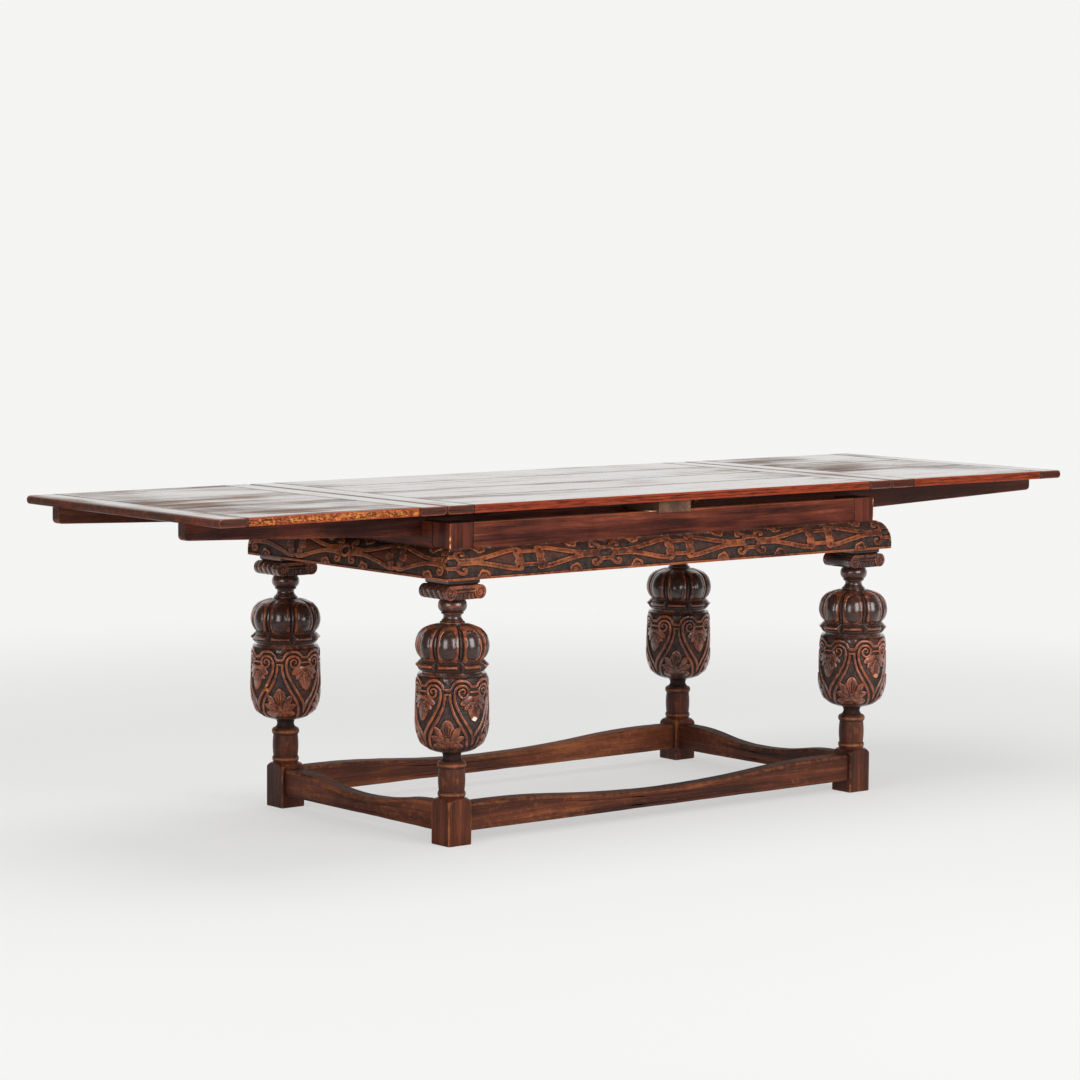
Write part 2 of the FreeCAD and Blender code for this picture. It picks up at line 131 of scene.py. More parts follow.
# colours of marks: foot is painted shade at the foot of carving, rim is pale wax with painted glints and highlights,
# the ground's pale specks are wax with painted glints, the dark staining colour is also painted shade on the abacus and
# three lopers, and the pale chips also paint highlights and glints
marks = {"fleckDark": (0.36, 0.070, 0.014), "fleckLight": (0.67, 0.235, 0.045), "fleckGap": (0.100, 0.021, 0.008),
         "stain": (0.044, 0.0195, 0.0145), "dustAndGlint": (0.105, 0.082, 0.070), "foot": (0.0095, 0.0052, 0.0042),
         "rim": (0.34, 0.27, 0.21), "graze": (0.60, 0.21, 0.060), "chip": (0.80, 0.74, 0.64)}
# noise drawn out along the grain: scale along it and across it, detail, roughness
grainNoise = {"streak": (1.7, 42.0, 5.0, 0.62), "fine": (8.0, 270.0, 4.0, 0.6), "pore": (42.0, 1150.0, 2.0, 0.5),
              "blotch": (4.2, 9.5, 5.0, 0.62), "lick": (22.0, 260.0, 4.0, 0.65), "patch": (150.0, 300.0, 3.0, 0.65)}
# noise the same every way: scale, detail, roughness
evenNoise = {"broad": (2.6, 2.0, 0.5), "speck": (330.0, 3.0, 0.6), "mottle": (75.0, 4.0, 0.65)}
growthRings = {"Scale": 6.0, "Distortion": 10.0, "Detail": 3.0}
pieceShift = (9.1, 5.3, 7.7)  # moves the grain from piece to piece
bumpHeight = 0.0009


def shade(colour, level):
    return [c * level for c in colour]


def oak(kind, look, grain):
    material = bpy.data.materials.new(f"{kind}OakAlong{grain.upper()}")
    material.use_nodes = True
    shader = material.node_tree.nodes["Principled BSDF"]
    w = Wire(material.node_tree)
    place = w.make("ShaderNodeTexCoord", None, None, "Object")
    chance = w.make("ShaderNodeObjectInfo", None, None, "Random")
    shift = w.make("ShaderNodeCombineXYZ", None, {axis: chance * far for axis, far in enumerate(pieceShift)})
    place = w.make("ShaderNodeVectorMath", {"operation": "ADD"}, {0: place, 1: shift})

    def grained(run, across):
        return w.stretch(place, [run if axis == grain else across for axis in "xyz"])

    streak, fine, pore, blotch, lick, patch = [w.noise(grained(run, across), 1.0, detail, rough)
                                               for run, across, detail, rough in grainNoise.values()]
    broad, speck, mottle = [w.noise(place, *values) for values in evenNoise.values()]
    direction = {"bands_direction": "Y" if grain == "x" else "X"}
    figure = w.make("ShaderNodeTexWave", direction, {"Vector": grained(0.13, 1.0), **growthRings}, "Fac")
    tone = streak * 0.50 + fine * 0.28 + blotch * 0.38 + (figure - 0.5) * look["figure"] - 0.08
    wood = w.tint(tone.ease(0.38, 0.55), look["dark"], look["middle"])
    wood = w.tint(tone.ease(0.52, 0.68), wood, look["light"])
    wood = w.tint(pore.ease(0.56, 0.68) * 0.65, wood, look["dark"])
    # the long edges of the boards are redder, and one of them is flecked
    edgeFace = w.field("warm")
    flame = w.tint(lick.ease(0.34, 0.60), shade(look["worn"], 0.30), look["worn"])
    flame = w.tint((lick * 0.7 + mottle * 0.5).ease(0.62, 0.82), flame, shade(look["worn"], 1.15))
    wood = w.tint(edgeFace * 0.9, wood, flame)
    flecks = w.tint(mottle.ease(0.40, 0.60), marks["fleckDark"], marks["fleckLight"])
    flecks = w.tint(patch.ease(0.46, 0.57), flecks, marks["fleckGap"])
    wood = w.tint(w.field("pale"), wood, flecks)
    # dark staining; on the abacus and three of the lopers it is painted shade
    stain = w.field("stain") * (mottle * 0.7 + blotch * 0.8 - 0.15).ease(0.25, 0.62)
    wood = w.tint(stain, wood, marks["stain"])
    worn = (w.field("arris") + fine * 0.5 + mottle * 1.3 + blotch * 1.1 - 1.75).ease(0.0, 0.62) * look["wear"]
    wood = w.tint(worn, wood, look["worn"])
    endGrain = w.field("endGrain")
    wood = w.tint(endGrain, wood, w.tint(speck.ease(0.35, 0.7), look["end"], shade(look["end"], 1.9)))
    # soil in the sunk ground, and painted shade at the foot of the carving
    sunk = w.field("sunk")
    soil = w.tint(mottle.ease(0.38, 0.68), look["ground"], shade(look["ground"], 2.1))
    soil = w.tint((blotch * 0.6 + mottle * 0.6).ease(0.58, 0.74) * 0.75, soil, look["middle"])
    # pale waxy specks in the ground, partly painted glints
    soil = w.tint(speck.ease(0.58, 0.72) * 0.5, soil, marks["dustAndGlint"])
    wood = w.tint((sunk + (mottle - 0.5) * 0.5).ease(0.28, 0.75), wood, soil)
    # painted shade where the carving meets its ground
    wood = w.tint(w.field("shadow") * 0.9, wood, marks["foot"])
    # pale wax with painted glints and highlights on edges, slopes and lips
    rim = w.field("rim") * (speck * 0.6 + mottle * 0.8).ease(0.74, 0.92)
    wood = w.tint(rim * 0.75, wood, marks["rim"])
    chip = w.field("chip")  # at half a fresh orange graze, at one a pale mark: real chips, and also painted highlights and glints
    fresh = w.tint(chip.ease(0.6, 0.8), marks["graze"], marks["chip"])
    chip = chip.ease(0.15, 0.35)
    w.tint(chip, wood, fresh).into(shader, "Base Color")
    # dull and dry places are rough and have no polish over them
    rough = look["rough"] + (streak - 0.5) * look["spread"] + (blotch - 0.5) * look["spread"]
    rough = rough + sunk * 0.20 + worn * 0.06 + chip * 0.3 + stain * 0.02
    dull = streak * 0.75 + blotch * 0.4 + broad * 0.7 + fine * 0.25 + w.field("matt")
    dull = dull.ease(1.02, 1.36) * look["dull"]
    dry = (edgeFace + endGrain + w.field("dry")).ease(0.0, 1.0)
    (rough + dull * 0.34 + dry * 0.22).into(shader, "Roughness")
    ((1.0 - dull) * (1.0 - sunk) * (1.0 - dry) * look["coat"]).into(shader, "Coat Weight")
    height = fine * 0.5 - pore.ease(0.54, 0.7) * 0.6 + streak * 0.4 + mottle * (0.3 + sunk * 0.8)
    height = (height + speck * (0.12 + sunk * 0.5 + endGrain * 0.2)) * (1.0 - stain * 0.85)
    relief = {"Strength": look["bump"], "Distance": bumpHeight, "Height": height}
    w.make("ShaderNodeBump", None, relief).into(shader, "Normal")
    shader.inputs["Coat Roughness"].default_value = look["glaze"]
    shader.inputs["Specular IOR Level"].default_value = look["shine"]
    return material


topX = oak("top", topLook, "x")
topY = oak("top", topLook, "y")
frameX = oak("frame", frameLook, "x")
frameY = oak("frame", frameLook, "y")
postZ = oak("post", postLook, "z")
blockX = oak("block", blockLook, "x")
blockY = oak("block", blockLook, "y")
blockZ = oak("block", blockLook, "z")
backPaleAndLitX = oak("back", backPaleAndLitLook, "x")
friezeX = oak("frieze", friezeLook, "x")
legZ = oak("leg", legLook, "z")
capitalY = oak("capital", legLook, "y")
bareY = oak("bare", bareLook, "y")
bareZ = oak("bare", bareLook, "z")
print("materials made")


# mesh building, in millimetres

unit = 0.001


def makeMesh(name, parts, material, sharp=38.0):
    points, faces, fields = [], [], {}
    count = 0
    for part in parts:
        own = np.asarray(part["points"], float).reshape(-1, 3) * unit
        points.append(own)
        faces += [tuple(int(i) + count for i in face) for face in part["faces"]]
        count += len(own)
    for key in sorted({k for part in parts for k in part if k not in ("points", "faces")}):
        fields[key] = [np.broadcast_to(np.ravel(part.get(key, 0.0)), len(p)) for part, p in zip(parts, points)]
    mesh = bpy.data.meshes.new(name)
    mesh.from_pydata(np.concatenate(points).tolist(), [], faces)
    for key, values in fields.items():
        layer = mesh.attributes.new(key, "FLOAT", "POINT")
        layer.data.foreach_set("value", np.concatenate(values).astype(np.float32))
    mesh.polygons.foreach_set("use_smooth", [True] * len(mesh.polygons))
    mesh.set_sharp_from_angle(angle=math.radians(sharp))
    mesh.materials.append(material)
    return mesh


def showPiece(name, mesh, body, stands, place=None):
    piece = bpy.data.objects.new(name, mesh)
    if place is not None:
        piece.matrix_world = place
    bpy.context.scene.collection.objects.link(piece)
    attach(piece, body)
    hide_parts(*stands)


def showBoard(node, parts, material, body):
    showPiece(node + "_board", makeMesh(node + "_board", parts, material), body, [node])


def showTimber(node, parts, material, body):
    showPiece(node + "_timber", makeMesh(node + "_timber", parts, material), body, [node])


def finishNode(node, material):  # a CAD node that keeps its shape
    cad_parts[node].data.materials.clear()
    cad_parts[node].data.materials.append(material)


def gridFaces(rows, cols, wrap=False, flip=False):
    r, c = np.meshgrid(np.arange(rows - 1), np.arange(cols if wrap else cols - 1), indexing="ij")
    right = (c + 1) % cols
    quads = np.stack([r * cols + c, r * cols + right, (r + 1) * cols + right, (r + 1) * cols + c], -1)
    quads = quads.reshape(-1, 4)
    return (quads[:, ::-1] if flip else quads).tolist()


def endCaps(points, flip=False):  # flat ends of a tube made of rings
    ring = list(range(points.shape[1]))
    first, last = (ring, ring[::-1]) if flip else (ring[::-1], ring)
    return [{"points": points[0], "faces": [first]}, {"points": points[-1], "faces": [last]}]


def smooth(values, low, high):
    t = np.clip((np.asarray(values, float) - low) / (high - low), 0.0, 1.0)
    return t * t * (3 - 2 * t)


def band(distance, half, soft=1.2):  # 1 inside, 0 outside, with a short slope
    return 1 - smooth(distance, half - soft / 2, half + soft / 2)


def soften(values, passes, around):  # blurred copy of a grid, which may run right round
    for _ in range(passes):
        spread = np.pad(values, ((1, 1), (0, 0)), mode="edge")
        values = (spread[:-2] + spread[1:-1] + spread[2:]) / 3
        spread = np.pad(values, ((0, 0), (1, 1)), mode="wrap" if around else "edge")
        values = (spread[:, :-2] + spread[:, 1:-1] + spread[:, 2:]) / 3
    return values


def reliefEdges(raised, passes, around):  # painted shade at the foot of the raised work, and its border upon it, worn and lit as a painted highlight
    near = soften(raised, passes, around)
    foot = smooth((1 - raised) * near, 0.10, 0.42)
    border = smooth(raised * (1 - near), 0.10, 0.42)
    return foot, border


waves = (900.0, 370.0, 160.0, 70.0)  # lengths of the waves in timber worked by hand


def waver(along, seed, size):  # a slow hand-made unevenness
    made = np.random.default_rng(seed)
    total = np.zeros_like(along)
    for length in waves:
        total += (length / waves[0]) ** 0.5 * np.sin(along * 2 * math.pi / length + made.uniform(0, 6.3))
    return total * size


# rows of points beside a bar's arrises and ends, how far wear reaches from them, the dirt in its seams, and the
# border round its end grain
barEdge = {"gaps": (1.5, 4.0, 8.0), "endGaps": (1.5, 4.0, 7.5), "endFree": 12, "short": 40, "wear": 2.2,
           "wideSeam": 2, "opening": 45.0, "dirt": 0.85, "border": 2.2}


def barSection(radii, fill, sizes):
    # points as (share, offset) of the two sizes, with the distance from the nearest arris and that arris
    way = [(1, 1), (-1, 1), (-1, -1), (1, -1)]
    edge = [(0, 0), (1, 0), (1, 1), (0, 1)]
    rows = []
    for k in range(4):
        r = radii[k]
        steps = 3 if r < 2 else 8
        for step in range(steps + 1):
            turn = math.radians(180 + 90 * k + 90 * step / steps)
            rows.append((edge[k][0], way[k][0] * r + r * math.cos(turn), edge[k][1],
                         way[k][1] * r + r * math.sin(turn), 0.0, k))
        after = (k + 1) % 4
        flat = k % 2 == 0  # the side runs along the first size
        first, reach = rows[-1], radii[after]
        target = (edge[after][0], way[after][0] * reach if flat else first[1],
                  edge[after][1], first[3] if flat else way[after][1] * reach)
        sign = 1 if k < 2 else -1
        length = sizes[0 if flat else 1] - r - reach
        gaps = barEdge["gaps"][:3 if length > 30 else 2 if length > 12 else 0]

        def beside(spot, move, gap, arris):  # a point of this side, moved along it from its arris
            return (spot[0], spot[1] + move * flat, spot[2], spot[3] + move * (not flat), gap, arris)

        rows += [beside(first, sign * gap, gap, k) for gap in gaps]
        for share in np.linspace(0.0, 1.0, fill + 2)[1:-1]:
            between = tuple(f + (t - f) * share for f, t in zip(first[:4], target))
            rows.append(between + (min(20.0, length * min(share, 1 - share)), k if share < 0.5 else after))
        rows += [beside(target, -sign * gap, gap, after) for gap in gaps[::-1]]
    return np.array(rows)


def barParts(axis, start, stop, limits, radii, worn, seed, endRound, endWorn=0.0, step=14.0, uneven=0.15, fill=4,
             dirtReach=1.2):
    # a bar along an axis; limits(s) gives the low and high corner of its section at s, worn the wear of each arris,
    # and dirt lies along the arrises that aren't worn
    (a0, b0), (a1, b1) = limits((start + stop) / 2)
    section = barSection(radii, fill, (a1 - a0, b1 - b0))
    turns = np.radians(np.linspace(0, 90, 5))
    ends = endRound * (1 - np.sin(turns))[::-1]
    insets = endRound * (1 - np.cos(turns))[::-1]
    count = max(3, int((stop - start) / step))
    if stop - start < barEdge["short"]:
        middle = np.linspace(start + endRound, stop - endRound, count)[1:-1]
    else:
        middle = np.linspace(start + barEdge["endFree"], stop - barEdge["endFree"], count)
        if endRound < 1.4 and stop - start > barEdge["short"]:
            nearEnd = np.array(barEdge["endGaps"])
            middle = np.concatenate([start + nearEnd, middle, stop - nearEnd[::-1]])
    along = np.concatenate([start + ends, middle, (stop - ends)[::-1]])
    inset = np.concatenate([insets, np.zeros(len(middle)), insets[::-1]])
    lean = [np.minimum(waver(along, seed + k, uneven), 0.0) for k in range(4)]
    points = np.zeros((len(along), len(section), 3))
    for row, (s, gap) in enumerate(zip(along, inset)):
        (a0, b0), (a1, b1) = limits(s)
        a0, a1 = a0 + gap - lean[0][row], a1 - gap + lean[1][row]
        b0, b1 = b0 + gap - lean[2][row], b1 - gap + lean[3][row]
        points[row, :, 0] = s
        points[row, :, 1] = a0 + section[:, 0] * (a1 - a0) + section[:, 1]
        points[row, :, 2] = b0 + section[:, 2] * (b1 - b0) + section[:, 3]
    order = {"x": (0, 1, 2), "y": (1, 0, 2), "z": (1, 2, 0)}[axis]
    points = points[:, :, order]
    flip = axis == "y"
    weight = np.array(worn, float)[section[:, 5].astype(int)]
    near = np.exp(-section[:, 4] / barEdge["wear"])
    arris = (near * weight)[None, :].repeat(len(along), 0)
    endGap = np.minimum(along - start, stop - along)[:, None]
    arris = np.maximum(arris, np.exp(-endGap / barEdge["wear"]) * endWorn)
    # wide seams open toward the ends
    split = dirtReach * (1 + np.exp(-endGap / barEdge["opening"]) * (dirtReach > barEdge["wideSeam"]))
    seam = np.exp(-(section[:, 4][None, :] / split) ** 2) * (1 - weight)[None, :]
    dirt = np.maximum(seam, np.exp(-(endGap / dirtReach) ** 2) * (1 - endWorn)) * barEdge["dirt"]
    count = len(section)
    parts = [{"points": points, "faces": gridFaces(len(along), count, True, flip), "arris": arris, "sunk": dirt}]
    ring = list(range(count))
    for row, back in ((0, not flip), (-1, flip)):
        outline = points[row]
        middle = (outline.max(0) + outline.min(0)) / 2
        half = np.maximum((outline.max(0) - outline.min(0)) / 2, 1e-6)
        border = middle + (outline - middle) * np.where(half > 6, 1 - barEdge["border"] / half, 0.7)
        border[:, order.index(0)] = outline[:, order.index(0)]
        rim = {"points": np.stack([outline, border]), "faces": gridFaces(2, count, True, back),
               "endGrain": np.repeat([1 - endWorn, 1.0], count), "arris": np.repeat([endWorn, endWorn * 0.4], count)}
        parts += [rim, {"points": border, "faces": [ring[::-1] if back else ring], "endGrain": 1.0}]
    return parts


def fixed(a0, a1, b0, b1):
    return lambda s: ((a0, b0), (a1, b1))


def sidePairs(left, right):  # a value for each arris of a bar, from those of its two sides
    return (left, right, right, left)


# boards of the top and the leaves

board = {"low": 760.0, "high": 780.0, "side": 393.0, "centreEnd": 697.0, "leafStart": 698.0, "leafEnd": 1311.0,
         "cleat": 75.0, "nose": 9.0, "edge": 3.0, "seam": 0.8, "dirt": 4.2, "wear": 0.8,
         "cleatWear": 0.5, "edgeFace": 2.0, "flecked": 0.6, "matt": {"left": 0.07, "right": 0.06}}
centreShares = (0.27, 0.24, 0.26, 0.23)
leafShares = (0.36, 0.30, 0.34)
sides = {"left": -1, "right": 1}


def plankParts(x0, x1, y0, y1, seed, front, back):
    low, high = [board["edge"] if outer else board["seam"] for outer in (front, back)]
    worn = sidePairs(board["wear"] * front, board["wear"] * back)
    across = fixed(y0, y1, board["low"], board["high"])
    parts = barParts("x", x0, x1, across, sidePairs(low, high), worn, seed, endRound=0.5, dirtReach=board["dirt"])
    y = parts[0]["points"][..., 1]
    atEdge = (y < y0 + board["edgeFace"]) & front | (y > y1 - board["edgeFace"]) & back
    parts[0]["warm"] = np.where(atEdge, 1.0, 0.0)
    return parts


def cleatParts(x0, x1, outward, seed):
    left, right = [board["nose"] if outward == side else board["seam"] for side in (-1, 1)]
    worn = sidePairs(board["cleatWear"] * (outward < 0), board["cleatWear"] * (outward > 0))
    across = fixed(x0, x1, board["low"], board["high"])
    parts = barParts("y", -board["side"], board["side"], across, sidePairs(left, right), worn, seed,
                     endRound=1.6, endWorn=0.9, dirtReach=board["dirt"])
    skin = parts[0]
    x, z = skin["points"][..., 0], skin["points"][..., 2]
    outside = outward * x - max(outward * x0, outward * x1)
    skin["dry"] = smooth(outside, -6.0, -3.0) * (1 - smooth(z, board["high"] - 4.0, board["high"] - 1.5))
    skin["stain"] = skin["dry"] * 0.95
    return parts


def boardSpans(shares):  # where each plank starts and stops across the top, and whether it is the first or the last
    cuts = -board["side"] + 2 * board["side"] * np.cumsum((0,) + shares)
    count = len(shares)
    return [(k, cuts[k], cuts[k + 1], k == 0, k == count - 1) for k in range(count)]


for index, y0, y1, front, back in boardSpans(centreShares):
    inner = board["centreEnd"] - board["cleat"]
    parts = plankParts(-inner, inner, y0, y1, 11 + index, front, back)
    showBoard(f"centre_plank_{index + 1}", parts, topX, "centre_top")
for name, way in sides.items():
    ends = sorted((way * (board["centreEnd"] - board["cleat"]), way * board["centreEnd"]))
    showBoard(f"centre_cleat_{name}", cleatParts(*ends, way, 31 + way), topY, "centre_top")
for name, way in sides.items():
    outer = board["leafEnd"] - board["cleat"]
    for index, y0, y1, front, back in boardSpans(leafShares):
        ends = sorted((way * (board["leafStart"] + board["cleat"]), way * outer))
        parts = plankParts(*ends, y0, y1, 51 + 7 * index + way, front, back)
        parts[0]["matt"] = board["matt"][name]
        if name == "left" and front:  # the flecked edge
            parts[0]["pale"] = np.where(parts[0]["points"][..., 1] < y0 + board["flecked"], 1.0, 0.0)
        showBoard(f"{name}_leaf_plank_{index + 1}", parts, topX, f"{name}_leaf")
    for place, start, facing in (("inner", board["leafStart"], -way), ("outer", outer, way)):
        ends = sorted((way * start, way * (start + board["cleat"])))
        parts = cleatParts(*ends, facing, 71 + way + 3 * len(place))
        showBoard(f"{name}_leaf_{place}_cleat", parts, topY, f"{name}_leaf")
print("boards made")


# frame: corner posts, rails, stretchers and lopers

legX, legY = 632.0, 328.0
post = {"half": 33.35, "low": 610.0, "high": 737.0, "round": 2.0, "rubbed": 0.76, "rubbedWaves": (9.0, 3.7)}
rail = {"thick": 26.0, "paleAt": -66.0, "paleHalf": 12.0, "pale": 0.85}
corners = {"front_left": (-1, -1), "front_right": (1, -1), "back_left": (-1, 1), "back_right": (1, 1)}
arrises = ((-1, -1), (1, -1), (1, 1), (-1, 1))  # of a post, in the order of its section
for index, (corner, (sx, sy)) in enumerate(corners.items()):
    x, y, half = sx * legX, sy * legY, post["half"]
    section = fixed(x - half, x + half, y - half, y + half)
    worn = [1.0 if arris == (sx, sy) else 0.1 for arris in arrises]
    rounds = (post["round"],) * 4
    parts = barParts("z", post["low"], post["high"], section, rounds, worn, 91 + index, endRound=1.2, endWorn=0.5,
                     step=9.0, uneven=0.2)
    skin = parts[0]
    # painted highlight: a pale line along the worn outer arris
    skin["rim"] = smooth(skin["arris"], 0.5, 0.8)
    z = skin["points"][..., 2]
    long, short = post["rubbedWaves"]
    rubbed = smooth(np.sin(z / long + index) + np.sin(z / short), 0.1, 0.9)
    skin["chip"] = post["rubbed"] * smooth(skin["arris"], 0.8, 0.97) * rubbed
    showTimber(f"corner_post_{corner}", parts, postZ, "table_frame")
faceX, faceY = legX + post["half"], legY + post["half"]  # outer faces of the frame
spanX, spanY = legX - post["half"], legY - post["half"]
for index, (name, way) in enumerate((("front", -1), ("back", 1))):
    faces = sorted((way * faceY, way * (faceY - rail["thick"])))
    section = fixed(*faces, post["low"], post["high"])
    worn = (0.2, 0.2, 0.9, 0.9)
    parts = barParts("x", -spanX, spanX, section, (1, 1, 1.6, 1.6), worn, 101 + index, endRound=0.4, uneven=0.2)
    if name == "front":  # a painted highlight on top, left of the bearer, drawn as a pale mark
        x, z = parts[0]["points"][..., 0], parts[0]["points"][..., 2]
        pale = band(np.abs(x - rail["paleAt"]), rail["paleHalf"], 10.0)
        parts[0]["chip"] = rail["pale"] * pale * (z > post["high"] - 1.3)
    showTimber(f"rail_{name}", parts, frameX, "table_frame")
finishNode("rail_left", frameY)
finishNode("rail_right", frameY)
finishNode("centre_bearer", bareY)
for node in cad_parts:
    if "_peg_" in node:
        finishNode(node, bareZ)

stretcher = {"low": 30.0, "ends": 94.0, "middle": 71.0, "half": 23.0, "round": 7.0, "flat": 0.12, "crest": 0.4,
             "wear": 0.26, "dirt": 0.5, "dirtReach": 45.0}


def stretcherTop(s, span):  # level at the ends, then two arcs down to the middle
    flat = span * (1 - stretcher["flat"])
    turning = flat * (1 - stretcher["crest"])
    dip = stretcher["ends"] - stretcher["middle"]
    level = stretcher["middle"] + dip * (1 - stretcher["crest"])
    s = abs(s)
    if s > flat:
        return stretcher["ends"]
    if s > turning:
        fall = stretcher["ends"] - level
        radius = ((flat - turning) ** 2 + fall ** 2) / (2 * fall)
        return stretcher["ends"] - radius + math.sqrt(radius ** 2 - (flat - s) ** 2)
    rise = level - stretcher["middle"]
    radius = (turning ** 2 + rise ** 2) / (2 * rise)
    return stretcher["middle"] + radius - math.sqrt(radius ** 2 - s ** 2)


for index, name in enumerate(("front", "right", "back", "left")):
    along = "x" if name in ("front", "back") else "y"
    span, line = (spanX, legY) if along == "x" else (spanY, legX)
    line = -line if name in ("front", "left") else line

    def section(s, span=span, line=line):
        return ((line - stretcher["half"], stretcher["low"]), (line + stretcher["half"], stretcherTop(s, span)))

    rounds = (1.5, 1.5, stretcher["round"], stretcher["round"])
    worn = (0.4, 0.4, 0.55, 0.55)
    parts = barParts(along, -span, span, section, rounds, worn, 121 + index, endRound=0.3, step=10.0,
                     uneven=0.45, fill=5)
    skin = parts[0]
    run, z = skin["points"][..., "xy".index(along)], skin["points"][..., 2]
    crown = np.array([stretcherTop(s, span) for s in run[:, 0]])
    skin["dry"] = smooth(z - crown[:, None], -8.0, -2.0)
    dirt = stretcher["dirt"] * np.exp(-(span - np.abs(run)) / stretcher["dirtReach"])  # beside the legs
    skin["sunk"] = np.maximum(skin["sunk"], dirt)
    skin["arris"] = np.maximum(skin["arris"], stretcher["wear"])
    # the back stretcher takes the paler copy, partly painted light
    wood = {"front": blockX, "back": backPaleAndLitX}.get(name, blockY)
    showTimber(f"stretcher_{name}", parts, wood, "table_frame")

loper = {"half": 13.5, "end": 1305.0, "depth": 37.0, "meet": 710.0, "heel": -20.0, "slope": 21.5 / 614.0, "nose": 9.0,
         "stain": 0.7, "lines": {"left": {"front": -241.0, "back": 276.0}, "right": {"front": -276.0, "back": 241.0}}}
for name, way in sides.items():
    for place, y in loper["lines"][name].items():

        def section(s, way=way, y=y):
            reach = way * s
            high = board["low"] - max(0.0, loper["meet"] - reach) * loper["slope"]
            low = board["low"] - loper["depth"] - (loper["end"] - reach) * loper["slope"]
            tip = max(0.0, reach - loper["end"] + loper["nose"])
            low += loper["nose"] - math.sqrt(max(0.0, loper["nose"] ** 2 - tip ** 2))
            return ((y - loper["half"], low), (y + loper["half"], high))

        node = f"{name}_loper_{place}"
        ends = sorted((way * loper["heel"], way * loper["end"]))
        worn = (0.6, 0.6, 0.0, 0.0)
        parts = barParts("x", *ends, section, (2, 2, 0.8, 0.8), worn, 141 + len(place) + way, endRound=0.5,
                         endWorn=0.5, step=5.0, uneven=0.1, fill=3)
        # painted shade darkens the other three lopers; the left front one is shaded by its leaf as it is
        parts[0]["stain"] = 0.0 if node == "left_loper_front" else loper["stain"]
        showTimber(node, parts, frameX, f"{name}_leaf")
print("frame made")


# outlines and relief fields for turned and carved work

def arcPoints(start, middle, end, count):  # points of the arc through three (radius, height) points, without the first
    (x1, y1), (x2, y2), (x3, y3) = start, middle, end
    det = 2 * (x1 * (y2 - y3) + x2 * (y3 - y1) + x3 * (y1 - y2))
    q1, q2, q3 = x1 * x1 + y1 * y1, x2 * x2 + y2 * y2, x3 * x3 + y3 * y3
    cx = (q1 * (y2 - y3) + q2 * (y3 - y1) + q3 * (y1 - y2)) / det
    cy = (q1 * (x3 - x2) + q2 * (x1 - x3) + q3 * (x2 - x1)) / det
    radius = math.dist((cx, cy), start)
    turns = [math.atan2(p[1] - cy, p[0] - cx) for p in (start, middle, end)]
    for k in (1, 2):
        while turns[k] - turns[k - 1] > math.pi:
            turns[k] -= 2 * math.pi
        while turns[k] - turns[k - 1] < -math.pi:
            turns[k] += 2 * math.pi
    turned = np.linspace(turns[0], turns[2], count + 1)[1:]
    return [(cx + radius * math.cos(t), cy + radius * math.sin(t)) for t in turned]


def straight(start, end, count):  # points of a straight line, without the first
    (x0, y0), (x1, y1) = start, end
    return [(x0 + (x1 - x0) * k / count, y0 + (y1 - y0) * k / count) for k in range(1, count + 1)]


def curvePath(points, steps=6):  # smooth path through points
    p = np.array([points[0]] + list(points) + [points[-1]], float)
    t = np.linspace(0, 1, steps, endpoint=False)[:, None]
    rows = []
    for k in range(1, len(p) - 2):
        a, b, c, d = p[k - 1], p[k], p[k + 1], p[k + 2]
        bend = (2 * a - 5 * b + 4 * c - d) * t ** 2
        twist = (3 * b - a - 3 * c + d) * t ** 3
        rows.append(0.5 * (2 * b + (c - a) * t + bend + twist))
    return np.vstack(rows + [p[-1:]])


def pathDistance(x, y, path, halves=None):  # distance from a path, or from a band round it, below 0 inside the band
    halves = np.zeros(len(path)) if halves is None else halves
    best = np.full(x.shape, 1e9)
    for (x0, y0), (x1, y1), h0, h1 in zip(path[:-1], path[1:], halves[:-1], halves[1:]):
        dx, dy = x1 - x0, y1 - y0
        t = np.clip(((x - x0) * dx + (y - y0) * dy) / (dx * dx + dy * dy + 1e-12), 0, 1)
        best = np.minimum(best, np.hypot(x - x0 - t * dx, y - y0 - t * dy) - h0 - t * (h1 - h0))
    return best


def swell(z, middle, reach):  # 1 at the middle, less to both sides
    return np.exp(-((z - middle) / reach) ** 2)


def nook(z, middle, reach):  # the same with a sharp peak
    return np.exp(-np.abs(z - middle) / reach)


# legs: foot block, lower turning, carved cup, girdle and gadrooned cover, neck

foot = {"half": 33.35, "top": 107.5, "corner": 92.0, "neck": 30.0, "shoulder": 0.35, "round": 2.2, "columns": 128,
        "crowd": 0.168, "scuff": 1.2, "scuffTop": 2.5, "wear": 0.62}
lower = {"ring": (107.5, 110.0, 123.0), "ringRadius": 32.3, "column": (123.0, 176.0), "columnRadius": 31.2,
         "columnEnd": 29.3, "collar": (176.0, 191.0), "collarRadius": 33.3, "stem": (191.0, 213.0),
         "stemRadius": 20.3, "lip": 28.3, "columns": 96}
cup = {"low": 213.0, "high": 395.0, "radius": 85.4, "fillet": 68.7, "filletTop": 400.0, "depth": 4.6,
       "columns": 472, "step": 1.18, "stipple": 0.28, "chipDepth": 0.8}
# arcs of the cup's outline: the middle and the end of each, as shares of its height and radius
cupArcs = (((0.05, 0.667), (0.12, 0.857)), ((0.22, 0.945), (0.46, 1.0)),
           ((0.68, 0.985), (0.92, 0.972)), ((0.965, 0.95), (1.0, 0.90)))
cover = {"girdleLow": 400.0, "girdleHigh": 424.0, "edge": 73.7, "point": 84.3, "pointHeight": 413.9, "root": 71.0,
         "high": 506.0, "radius": 85.2, "groove": 0.07, "lobes": 8, "columns": 480, "start": 2.2, "joint": 1.9}
